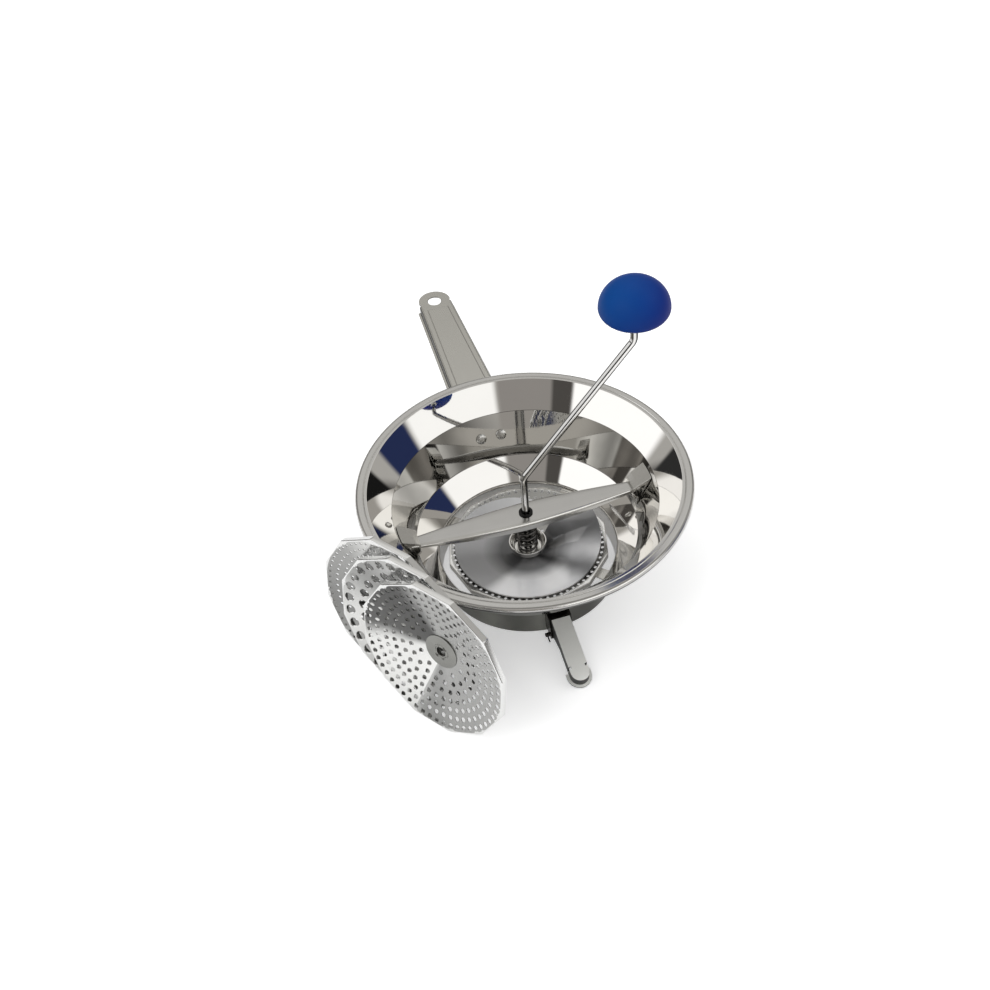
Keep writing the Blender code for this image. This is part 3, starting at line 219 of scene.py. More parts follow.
def sectored(name, tint, roughness, stops, turn=Matrix.Identity(4), brushed=0.5, inner=1.0):
    """Turned steel of a cone with painted reflection: its base colour is toned in sectors about the axis, given as
    (share of a turn, tone).
    """
    made = steel(name, tint, roughness, min(0.04, 0.4 * roughness), bump=0.1 * roughness, wear=0.8 * min(roughness, 0.2))
    nodes, links = made.node_tree.nodes, made.node_tree.links
    shader = nodes["Principled BSDF"]
    split = nodes.new("ShaderNodeSeparateXYZ")
    place = nodes.new("ShaderNodeTexCoord").outputs["Object"]
    upright = nodes.new("ShaderNodeMapping")
    upright.vector_type = "TEXTURE"
    upright.inputs["Rotation"].default_value = turn.to_euler()
    links.new(place, upright.inputs["Vector"])
    links.new(upright.outputs["Vector"], split.inputs["Vector"])
    ringwise = nodes.new("ShaderNodeVectorMath")
    ringwise.operation = "CROSS_PRODUCT"
    ringwise.inputs[0].default_value = turn.col[2][:3]
    links.new(place, ringwise.inputs[1])
    links.new(ringwise.outputs["Vector"], shader.inputs["Tangent"])
    shader.inputs["Anisotropic"].default_value = brushed
    around = nodes.new("ShaderNodeMath")
    around.operation = "ARCTAN2"
    links.new(split.outputs["Y"], around.inputs[0])
    links.new(split.outputs["X"], around.inputs[1])
    turn = ranged(nodes, links, around.outputs["Value"], -math.pi, math.pi, 0.0, 1.0)
    ripple = noise(nodes, links, place, 25.0, 2.0)
    shifted = nodes.new("ShaderNodeMath")
    shifted.operation = "MULTIPLY_ADD"
    shifted.inputs[1].default_value = 0.05
    links.new(ripple, shifted.inputs[0])
    links.new(turn, shifted.inputs[2])
    # Painted reflection: the sector tones, their edges rippled by noise, multiply the base colour.
    ramp = nodes.new("ShaderNodeValToRGB")
    ramp.color_ramp.interpolation = "EASE"
    ends = ramp.color_ramp.elements
    for share, tone in stops:
        stop = ends[0] if share == 0.0 else ends[-1] if share == 1.0 else ends.new(share)
        stop.color = (tone, tone, tone, 1.0)
    links.new(shifted.outputs["Value"], ramp.inputs["Fac"])
    old = shader.inputs["Base Color"].links[0].from_socket
    # Painted shade: an inner value below one darkens the face towards the axis, fading out between 26 and 44 mm.
    if inner < 1.0:
        reach = nodes.new("ShaderNodeVectorMath")
        reach.operation = "LENGTH"
        flat = nodes.new("ShaderNodeCombineXYZ")
        links.new(split.outputs["X"], flat.inputs["X"])
        links.new(split.outputs["Y"], flat.inputs["Y"])
        links.new(flat.outputs["Vector"], reach.inputs[0])
        deep = nodes.new("ShaderNodeMixRGB")
        deep.blend_type = "MULTIPLY"
        deep.inputs["Color2"].default_value = (inner, inner, inner, 1.0)
        links.new(ranged(nodes, links, reach.outputs["Value"], 0.026, 0.044, 1.0, 0.0), deep.inputs["Fac"])
        links.new(old, deep.inputs["Color1"])
        old = deep.outputs["Color"]
    toned = nodes.new("ShaderNodeMixRGB")
    toned.blend_type = "MULTIPLY"
    toned.inputs["Fac"].default_value = 1.0
    links.new(old, toned.inputs["Color1"])
    links.new(ramp.outputs["Color"], toned.inputs["Color2"])
    links.new(toned.outputs["Color"], shader.inputs["Base Color"])
    return made


def frosted(made, share):
    """Makes a metal scatter part of its light, as a matt pressed face does."""
    made.node_tree.nodes["Principled BSDF"].inputs["Metallic"].default_value = 1.0 - share
    return made


def banded(made, direction, stops):
    """Paints reflection and highlight into a steel: tones it by how far its faces look along a direction, given as
    (share from -1 to 1, tone).
    """
    nodes, links = made.node_tree.nodes, made.node_tree.links
    shader = nodes["Principled BSDF"]
    along = nodes.new("ShaderNodeVectorMath")
    along.operation = "DOT_PRODUCT"
    along.inputs[1].default_value = Vector(direction).normalized()
    links.new(nodes.new("ShaderNodeTexCoord").outputs["Normal"], along.inputs[0])
    share = ranged(nodes, links, along.outputs["Value"], -1.0, 1.0, 0.0, 1.0)
    ramp = nodes.new("ShaderNodeValToRGB")
    ends = ramp.color_ramp.elements
    for value, tone in stops:
        stop = ends[0] if value == -1.0 else ends[-1] if value == 1.0 else ends.new((value + 1.0) / 2.0)
        stop.color = (tone, tone, tone, 1.0)
    links.new(share, ramp.inputs["Fac"])
    toned = nodes.new("ShaderNodeMixRGB")
    toned.blend_type = "MULTIPLY"
    toned.inputs["Fac"].default_value = 1.0
    links.new(shader.inputs["Base Color"].links[0].from_socket, toned.inputs["Color1"])
    links.new(ramp.outputs["Color"], toned.inputs["Color2"])
    links.new(toned.outputs["Color"], shader.inputs["Base Color"])
    return made


def knob_plastic():
    """Smooth deep blue plastic with a faint mottle from its moulding, and painted light: lighter and greener towards
    the top and minus X, darker and more violet towards the bottom and plus X.
    """
    made, nodes, links, shader = node_tools("blue_plastic")
    place = nodes.new("ShaderNodeTexCoord").outputs["Object"]
    mottle = noise(nodes, links, place, 60.0, 2.0)
    # Painted light: the blue is lighter towards the top and minus X, where the key lamp stands, and darker away from
    # it.
    tone = nodes.new("ShaderNodeMixRGB")
    tone.inputs["Color1"].default_value = (0.009, 0.010, 0.17, 1.0)
    tone.inputs["Color2"].default_value = (0.001, 0.052, 0.235, 1.0)
    split = nodes.new("ShaderNodeSeparateXYZ")
    links.new(place, split.inputs["Vector"])
    level = nodes.new("ShaderNodeMath")
    level.operation = "SUBTRACT"
    links.new(split.outputs["Z"], level.inputs[0])
    links.new(split.outputs["X"], level.inputs[1])
    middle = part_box("knob")[0].z + 0.0130
    links.new(ranged(nodes, links, level.outputs["Value"], middle - 0.035, middle + 0.040, 0.0, 1.0), tone.inputs["Fac"])
    links.new(tone.outputs["Color"], shader.inputs["Base Color"])
    links.new(ranged(nodes, links, mottle, 0.0, 1.0, 0.46, 0.54), shader.inputs["Roughness"])
    relief = nodes.new("ShaderNodeBump")
    relief.inputs["Strength"].default_value = 0.05
    relief.inputs["Distance"].default_value = 0.0002
    links.new(mottle, relief.inputs["Height"])
    links.new(relief.outputs["Normal"], shader.inputs["Normal"])
    shader.inputs["Specular IOR Level"].default_value = 0.12
    return made


MIRROR = steel("mirror_steel", (0.83, 0.815, 0.79), 0.035, 0.015, bump=0.004, wear=0.04)
POLISHED = steel("polished_steel", (0.80, 0.79, 0.77), 0.07, 0.02, bump=0.008)
# Painted reflection: the rod is toned in light and dark stripes by the way its faces look.
ROD_CHROME = banded(steel("rod_chrome", (0.90, 0.89, 0.87), 0.10, 0.02, bump=0.008), (-0.59, 0.64, 0.49),
                    ((-1.0, 0.03), (-0.80, 0.04), (-0.68, 1.0), (-0.30, 1.0), (-0.16, 0.12),
                     (-0.04, 0.12), (0.08, 0.62), (0.72, 0.70), (0.84, 0.10), (0.90, 0.08), (1.0, 0.6)))
# Painted highlight and shade: the rim is toned in bands by how far its faces look up, with white and dark lines on the
# bead.
RIM_STEEL = banded(steel("rim_steel", (0.86, 0.85, 0.825), 0.18, 0.03, bump=0.02), (0.0, 0.0, 1.0),
                   ((-1.0, 0.40), (-0.30, 0.08), (-0.05, 0.10), (0.05, 0.45), (0.30, 0.52), (0.42, 1.0),
                    (0.86, 1.0), (0.93, 0.40), (0.97, 0.66), (1.0, 0.70)))
# Painted reflection: tones in sectors round the bowl's outside.
OUTER_SECTORS = ((0.0, 0.7), (0.08, 0.4), (0.16, 0.85), (0.20, 0.5), (0.25, 0.8), (0.29, 0.45), (0.34, 0.3),
                 (0.45, 0.7), (0.60, 0.4), (0.75, 0.75), (0.90, 0.5), (1.0, 0.7))
# Painted shade: dark steel laid along the creases at the foot of the wall and of the brim.
CREASE_SHADE_STEEL = steel("crease_shade_steel", (0.22, 0.21, 0.20), 0.10)
# Painted shade: the outside is a darker copy of the bowl's steel, for the shaded floor it mirrors, with painted
# reflection in sectors.
SHADED_OUTER_STEEL = sectored("shaded_outer_steel", (0.44, 0.44, 0.405), 0.15, OUTER_SECTORS)
SATIN = steel("satin_steel", (0.66, 0.65, 0.62), 0.24)
HUB_STEEL = steel("hub_steel", (0.34, 0.34, 0.32), 0.24, wear=0.3)
# Painted highlight: a lighter steel for the discs' turned-down rims, so they show as bright edges.
EDGE_HIGHLIGHT_STEEL = steel("disc_edge_highlight_steel", (0.88, 0.88, 0.87), 0.16)
# Painted highlight: the bar is lighter where its faces look forward and up, along its front edge, and darker elsewhere.
BAR_SATIN = banded(steel("bar_steel", (0.94, 0.93, 0.90), 0.20, grain=(1.0, 0.0, 0.0), bump=0.03, wear=0.2),
                   (0.0, -0.6, 0.8), ((-1.0, 0.30), (0.0, 0.40), (0.72, 0.55), (0.84, 0.62), (0.90, 1.0), (1.0, 1.0)))
# Painted shade: the sides value darkens the faces of the handle and the leg that don't look up.
HANDLE_SATIN = steel("handle_steel", (0.64, 0.63, 0.59), 0.26, grain=(0.0, 1.0, 0.0), bump=0.03, sides=0.08)
LEG_SATIN = frosted(steel("leg_steel", (0.95, 0.95, 0.91), 0.40, grain=(0.0, 1.0, 0.0), bump=0.04, sides=0.03), 0.8)
DARK_STEEL = steel("dark_steel", (0.05, 0.048, 0.045), 0.20)
SPRING_STEEL = steel("spring_steel", (0.16, 0.155, 0.15), 0.12)
BLACK = steel("blackened_ring", (0.03, 0.03, 0.03), 0.35)
BLUE = knob_plastic()
DISC_TINT = (0.92, 0.92, 0.90)
# Painted reflection: tones in sectors for the blade and the discs.
BLADE_SECTORS = ((0.0, 0.40), (0.12, 0.42), (0.17, 1.0), (0.33, 1.0), (0.39, 0.28), (0.44, 0.85), (0.50, 0.30),
                 (0.62, 0.75), (1.0, 0.40))
FITTED_SECTORS = ((0.0, 0.6), (0.5, 0.75), (1.0, 0.6))
FINE_SECTORS = ((0.0, 0.50), (0.25, 0.55), (0.45, 0.92), (0.60, 0.85), (0.72, 0.45), (0.88, 0.30), (1.0, 0.50))
COARSE_SECTORS = ((0.0, 0.70), (0.30, 0.55), (0.55, 0.75), (0.70, 0.40), (0.85, 0.90), (1.0, 0.70))
MEDIUM_SECTORS = ((0.0, 0.95), (0.06, 0.40), (0.14, 0.50), (0.40, 0.58), (0.58, 0.55), (0.66, 0.12), (0.79, 0.16),
                  (0.85, 1.0), (1.0, 1.0))


# Painted shade: the blade is darkened towards its middle by the inner value, with painted reflection in sectors.
BLADE_STEEL = frosted(sectored("blade_steel", (0.97, 0.97, 0.98), 0.12, BLADE_SECTORS, brushed=0.0, inner=0.30), 0.7)
# Painted reflection: light and dark sectors on the bowl's inside wall.
WALL_SECTORS = ((0.0, 0.7), (0.38, 0.8), (0.44, 0.5), (0.495, 0.75), (0.525, 0.25), (0.555, 0.85), (0.60, 0.55),
                (0.66, 1.0), (0.80, 1.0), (0.84, 0.45), (0.88, 0.75), (0.93, 0.4), (1.0, 0.7))
WALL_STEEL = sectored("wall_steel", (0.88, 0.865, 0.83), 0.035, WALL_SECTORS, brushed=0.0)


# Mesh tools
def repaint(piece, look, chosen):
    """Gives another look to the faces whose middle and normal the test picks."""
    piece.data.materials.append(look)
    index = len(piece.data.materials) - 1
    for polygon in piece.data.polygons:
        if chosen(polygon.center, polygon.normal):
            polygon.material_index = index


def add_piece(name, mesh, look, body, nodes, place=BOWL_AXIS, smooth=40.0):
    """A visible piece, which rides on a body and stands for CAD nodes."""
    made = bpy.data.objects.new(name, mesh)
    bpy.context.scene.collection.objects.link(made)
    mesh.materials.clear()
    mesh.materials.append(look)
    if smooth is not None:
        mesh.shade_smooth()
        mesh.set_sharp_from_angle(angle=math.radians(smooth))
    made.matrix_world = place
    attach(made, body)
    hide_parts(*nodes)
    return made


def to_mesh(name, bm):
    bmesh.ops.recalc_face_normals(bm, faces=bm.faces)
    mesh = bpy.data.meshes.new(name)
    bm.to_mesh(mesh)
    bm.free()
    return mesh


def applied(name, mesh, *modifiers):
    """The mesh with modifiers worked in, each given as (kind, settings)."""
    made = bpy.data.objects.new(name, mesh)
    bpy.context.scene.collection.objects.link(made)
    for kind, settings in modifiers:
        modifier = made.modifiers.new(kind.lower(), kind)
        for key, value in settings.items():
            setattr(modifier, key, value)
    solid = made.evaluated_get(bpy.context.evaluated_depsgraph_get())
    result = bpy.data.meshes.new_from_object(solid)
    result.name = name
    bpy.data.objects.remove(made)
    return result


def rounded(corners, steps=5):
    """Closed outline whose corners (across, up, radius) become arcs."""
    points = []
    count = len(corners)
    for i in range(count):
        here = Vector(corners[i][:2])
        radius = corners[i][2] if len(corners[i]) > 2 else 0.0
        back = Vector(corners[i - 1][:2]) - here
        onward = Vector(corners[(i + 1) % count][:2]) - here
        if radius <= 0.0 or min(back.length, onward.length) < 1e-7:
            points.append(tuple(here))
            continue
        half = back.angle(onward) / 2.0
        if half > math.radians(89.0):
            points.append(tuple(here))
            continue
        reach = min(radius / math.tan(half), 0.48 * back.length, 0.48 * onward.length)
        radius = reach * math.tan(half)
        back.normalize()
        onward.normalize()
        centre = here + (back + onward).normalized() * (radius / math.sin(half))
        first = here + back * reach - centre
        last = here + onward * reach - centre
        whole = first.angle(last)
        for k in range(steps + 1):
            share = k / steps
            mix = first * math.sin((1.0 - share) * whole) + last * math.sin(share * whole)
            points.append(tuple(centre + mix / math.sin(whole)))
    return points


def turned(name, outline, steps=64):
    """Spin a closed (radius, height) outline about Z."""
    bm = bmesh.new()
    ring = [bm.verts.new((r, 0.0, z)) for r, z in outline]
    edges = []
    for i in range(len(ring)):
        if ring[i].co.x > 1e-7 or ring[i - 1].co.x > 1e-7:
            edges.append(bm.edges.new((ring[i], ring[i - 1])))
    bmesh.ops.spin(bm, geom=ring + edges, cent=(0.0, 0.0, 0.0), axis=(0.0, 0.0, 1.0),
                   angle=2.0 * math.pi, steps=steps, use_merge=True)
    bmesh.ops.remove_doubles(bm, verts=bm.verts, dist=1e-6)
    return to_mesh(name, bm)


def offset_path(path, distance):
    """Shift an open path to its left, with mitred corners."""
    shifted = []
    for i, point in enumerate(path):
        normals = []
        for a, b in ((i - 1, i), (i, i + 1)):
            if a >= 0 and b < len(path):
                step = Vector(path[b][:2]) - Vector(path[a][:2])
                normals.append(Vector((-step.y, step.x)).normalized())
        total = sum(normals, Vector((0.0, 0.0))) / len(normals)
        moved = Vector(point[:2]) + total * (distance / total.length_squared)
        shifted.append((moved.x, moved.y))
    return shifted


def wire(name, points, radius, sides=20):
    """Round bar along a path, with closed ends."""
    bm = bmesh.new()
    rings = []
    side = None
    for i, point in enumerate(points):
        before = points[max(i - 1, 0)]
        after = points[min(i + 1, len(points) - 1)]
        along = (after - before).normalized()
        if side is None:
            side = along.orthogonal().normalized()
        side = (side - along * side.dot(along)).normalized()
        other = along.cross(side)
        ring = []
        for k in range(sides):
            angle = 2.0 * math.pi * k / sides
            ring.append(bm.verts.new(point + (side * math.cos(angle) + other * math.sin(angle)) * radius))
        rings.append(ring)
    for a, b in zip(rings, rings[1:]):
        for k in range(sides):
            j = (k + 1) % sides
            bm.faces.new((a[k], a[j], b[j], b[k]))
    bm.faces.new(rings[0][::-1])
    bm.faces.new(rings[-1])
    return to_mesh(name, bm)


def bent_path(corners, radius, steps):
    """A path through corners whose bends are arcs."""
    points = [Vector(corners[0])]
    for before, here, after in zip(corners, corners[1:], corners[2:]):
        here = Vector(here)
        back = (Vector(before) - here).normalized()
        onward = (Vector(after) - here).normalized()
        half = back.angle(onward) / 2.0
        reach = radius / math.tan(half)
        centre = here + (back + onward).normalized() * radius / math.sin(half)
        first = here + back * reach - centre
        last = here + onward * reach - centre
        whole = first.angle(last)
        for k in range(steps + 1):
            share = k / steps
            mix = first * math.sin((1.0 - share) * whole) + last * math.sin(share * whole)
            points.append(centre + mix / math.sin(whole))
    points.append(Vector(corners[-1]))
    return points


def sheet_rows(name, rows, thickness):
    """A sheet through rows of points, which grows to its thickness behind its face."""
    bm = bmesh.new()
    grid = [[bm.verts.new(point) for point in row] for row in rows]
    for a, b in zip(grid, grid[1:]):
        for i in range(len(a) - 1):
            bm.faces.new((a[i], a[i + 1], b[i + 1], b[i]))
    mesh = bpy.data.meshes.new(name)
    bm.to_mesh(mesh)
    bm.free()
    grow = {"thickness": thickness, "offset": 0.0, "use_even_offset": True}
    return applied(name, mesh, ("SOLIDIFY", grow))


def eased(node, width, look, body):
    """The CAD node's own form with its edges rounded over."""
    bm = bmesh.new()
    bm.from_mesh(frame["nodes"][node].data)
    bmesh.ops.remove_doubles(bm, verts=bm.verts, dist=1e-6)
    bmesh.ops.dissolve_limit(bm, angle_limit=math.radians(1.5), verts=bm.verts, edges=bm.edges)
    soft = {"width": width, "segments": 3, "limit_method": "ANGLE", "angle_limit": math.radians(32.0),
            "use_clamp_overlap": True, "harden_normals": True}
    plain = to_mesh(node, bm)
    plain.shade_smooth()
    plain.set_sharp_from_angle(angle=math.radians(38.0))
    mesh = applied(node + "_form", plain, ("BEVEL", soft))
    return add_piece(node + "_form", mesh, look, body, [node], Matrix.Identity(4), None)


def corners_of(node):
    """The CAD node's corner points, each once."""
    points = np.array([vert.co for vert in frame["nodes"][node].data.vertices])
    return np.unique(points.round(6), axis=0)


def turning_axis(node):
    """Centre, axis and half length of a turned CAD piece."""
    points = corners_of(node)
    centre = points.mean(axis=0)
    spread, axes = np.linalg.eigh(np.cov((points - centre).T))
    axis = axes[:, 0 if spread[1] - spread[0] > spread[2] - spread[1] else 2]
    heights = (points - centre) @ axis
    centre = centre + axis * (heights.max() + heights.min()) / 2.0
    return Vector(centre), Vector(axis), (heights.max() - heights.min()) / 2.0


# Bowl
def make_bowl():
    outer = [(BRIM_FOOT_RADIUS, BRIM_FOOT_HEIGHT), (WALL_FOOT_RADIUS, WALL_FOOT_HEIGHT),
             (NECK_RADIUS, NECK_HEIGHT), (NECK_RADIUS, 0.0)]
    start = (BRIM_TOP_RADIUS + SHEET, MILL_HEIGHT - SHEET)
    inner = offset_path([start] + outer, -SHEET)[1:]
    inner[-1] = (NECK_RADIUS - SHEET, 0.0)
    radii = (0.0016, 0.0030, 0.0070, 0.0003)
    bead_centre = (RIM_RADIUS - BEAD_RADIUS, MILL_HEIGHT - BEAD_RADIUS)
    bead = []
    for k in range(19):
        angle = math.radians(-150.0 + 250.0 * k / 18)
        bead.append((bead_centre[0] + BEAD_RADIUS * math.cos(angle), bead_centre[1] + BEAD_RADIUS * math.sin(angle)))
    outline = [(start[0] + SHEET, start[1])] + bead
    outline += [(0.1480, MILL_HEIGHT, 0.0003), (0.1474, MILL_HEIGHT - 0.0005, 0.0003), (0.1468, MILL_HEIGHT, 0.0003)]
    outline += [(BRIM_TOP_RADIUS, MILL_HEIGHT, 0.0007)]
    outline += [(r, z, radius) for (r, z), radius in zip(inner, radii)]
    outline += [(r, z, radius) for (r, z), radius in zip(outer[::-1], radii[::-1])]
    bowl = add_piece("bowl_skin", turned("bowl_skin", rounded(outline), 256), MIRROR, "mill", ["bowl"])
    # Painted shade and reflection: the outside takes the darker steel, toned in sectors.
    repaint(bowl, SHADED_OUTER_STEEL, lambda at, normal: normal.x * at.x + normal.y * at.y > at.xy.length * (normal.z + 0.05))
    low, high = WALL_FOOT_HEIGHT, BRIM_FOOT_HEIGHT
    # Painted reflection: the inside wall is toned in sectors.
    repaint(bowl, WALL_STEEL, lambda at, normal: low < at.z < high and normal.x * at.x + normal.y * at.y < 0.0)
    # Painted shade along the creases at both feet of the inside.
    repaint(bowl, CREASE_SHADE_STEEL, lambda at, normal: min(abs(at.z - low), abs(at.z - high)) < 0.0008
            and normal.x * at.x + normal.y * at.y < 0.0)
    # Painted highlight and shade: the rim takes steel toned in bands.
    repaint(bowl, RIM_STEEL, lambda at, normal: at.xy.length > BRIM_TOP_RADIUS + 0.0003 and at.z > MILL_HEIGHT - 0.0064)


# Perforated plates
def circle(x, y, radius, count, phase=0.0):
    turn = 2.0 * math.pi / count
    return [(x + radius * math.cos(turn * k + phase), y + radius * math.sin(turn * k + phase)) for k in range(count)]


def inside_loop(point, loop):
    """Whether a point lies inside a closed outline."""
    crossings = 0
    for (ax, ay), (bx, by) in zip(loop, loop[1:] + loop[:1]):
        if (ay > point[1]) != (by > point[1]) and point[0] < ax + (bx - ax) * (point[1] - ay) / (by - ay):
            crossings += 1
    return crossings % 2 == 1


def plate(bm, loops, holes, lift, thickness, back_outline=None):
    """Adds a pierced sheet to bm: its first loop is its edge, and its triangles follow the other loops.

    A hole is (x, y, radius, bevel, count), and lift gives a point's height and slope (dz/dx, dz/dy).
    It gives back the faces that lie close to the form, which take its normals, and the form's normal at each corner
    point."""
    flat = []
    edges = []
    for loop in list(loops) + [circle(x, y, radius + bevel, count) for x, y, radius, bevel, count in holes]:
        first = len(flat)
        flat += [Vector(point) for point in loop]
        edges += [(first + k, first + (k + 1) % len(loop)) for k in range(len(loop))]
    found, _, faces, origins, _, _ = delaunay_2d_cdt(flat, edges, [], 0, 1e-7)
    centres = np.array([hole[:2] for hole in holes]).reshape(-1, 2)
    limits = np.array([hole[2] + hole[3] for hole in holes])
    kept = []
    for face in faces:
        middle = np.array([found[i] for i in face]).mean(axis=0)
        if not (np.hypot(*(centres - middle).T) < limits).any() and inside_loop(middle, loops[0]):
            kept.append(tuple(face))
    edge_count = len(loops[0])
    front = []
    back = []
    normals = {}
    for i, point in enumerate(found):
        height, slope = lift(point.x, point.y)
        normal = Vector((-slope[0], -slope[1], 1.0)).normalized()
        front.append(bm.verts.new((point.x, point.y, height)))
        behind = front[-1].co - normal * thickness
        if back_outline is not None and any(origin < edge_count for origin in origins[i]):
            behind = Vector((*back_outline[min(origins[i])], height - thickness))
        back.append(bm.verts.new(behind))
        normals[front[-1]] = normal
        normals[back[-1]] = -normal
    smooth = []
    for face in kept:
        pair = (bm.faces.new([front[i] for i in face]), bm.faces.new([back[i] for i in face[::-1]]))
        pair[0].normal_update()
        if pair[0].normal.dot(normals[front[face[0]]]) > 0.93:
            smooth += pair
    lookup = {}
    for i, origin in enumerate(origins):
        for source in origin:
            lookup[source] = i
    for k in range(edge_count):
        a, b = lookup[k], lookup[(k + 1) % edge_count]
        bm.faces.new((front[b], front[a], back[a], back[b]))
    first = sum(len(loop) for loop in loops)
    for x, y, radius, bevel, count in holes:
        ids = [lookup[first + k] for k in range(count)]
        first += count
        inner = []
        for i, (px, py) in zip(ids, circle(x, y, radius, count)):
            height = front[i].co.z - bevel * 0.8
            inner.append(bm.verts.new((px, py, height)))
        for k in range(count):
            j = (k + 1) % count
            bm.faces.new((front[ids[k]], front[ids[j]], inner[j], inner[k]))
            bm.faces.new((inner[k], inner[j], back[ids[j]], back[ids[k]]))
    return smooth, normals


def plate_mesh(name, bm, smooth, normals):
    """Mesh of a pierced sheet, whose broad faces take the normals of the form."""
    bm.faces.ensure_lookup_table()
    bm.faces.index_update()
    chosen = {face.index for face in smooth}
    split = []
    for face in bm.faces:
        for loop in face.loops:
            split.append(tuple(normals[loop.vert]) if face.index in chosen else (0.0, 0.0, 0.0))
    mesh = bpy.data.meshes.new(name)
    bm.to_mesh(mesh)
    bm.free()
    mesh.shade_smooth()
    mesh.set_sharp_from_angle(angle=math.radians(30.0))
    mesh.normals_split_custom_set(split)
    return mesh


def dish(x, y):
    """Height and slope of a disc's face: flat hub, cone and flat land, with soft bends between."""
    radius = math.hypot(x, y)
    steep = DISC_DISH / (CONE_RADIUS - HUB_RADIUS)
    bend = 0.0012
    height = -DISC_DISH
    rise = 0.0
    for place, change in ((HUB_RADIUS, steep), (CONE_RADIUS, -steep)):
        past = radius - place
        if past > bend:
            height += change * past
            rise += change
        elif past > -bend:
            height += change * (past + bend) ** 2 / (4.0 * bend)
            rise += change * (past + bend) / (2.0 * bend)
    if radius < 1e-9:
        return height, (0.0, 0.0)
    return height, (rise * x / radius, rise * y / radius)


def many_sided(inset):
    """The disc's edge, twelve flat sides with rounded corners, drawn in by the inset."""
    half = math.pi / DISC_SIDES
    apothem = DISC_RADIUS * math.cos(half)
    reach = (apothem - DISC_CORNER) / math.cos(half)
    points = []
    for k in range(DISC_SIDES):
        middle = 2.0 * half * k
        for j in range(7):
            angle = middle + half * (j / 3.0 - 1.0)
            points.append((reach * math.cos(middle) + (DISC_CORNER - inset) * math.cos(angle),
                           reach * math.sin(middle) + (DISC_CORNER - inset) * math.sin(angle)))
    return points


def disc_place(disc, hub):
    """Where a disc lies: its face's middle, with Z out of its dish and X through a corner."""
    centre, axis, _ = turning_axis(hub)
    points = corners_of(disc) - np.array(centre)
    heights = points @ np.array(axis)
    if heights.mean() < 0.0:
        axis = -axis
        heights = -heights
    across = points - np.outer(heights, np.array(axis))
    reach = np.linalg.norm(across, axis=1)
    corners = across[reach > reach.max() - 1e-5]
    highest = max(corners, key=lambda corner: (round(corner[2], 4), round(corner[0], 4)))
    corner = Vector(highest).normalized()
    turn = Matrix((corner, axis.cross(corner), axis)).transposed().to_4x4()
    return Matrix.Translation(centre + axis * heights.max()) @ turn


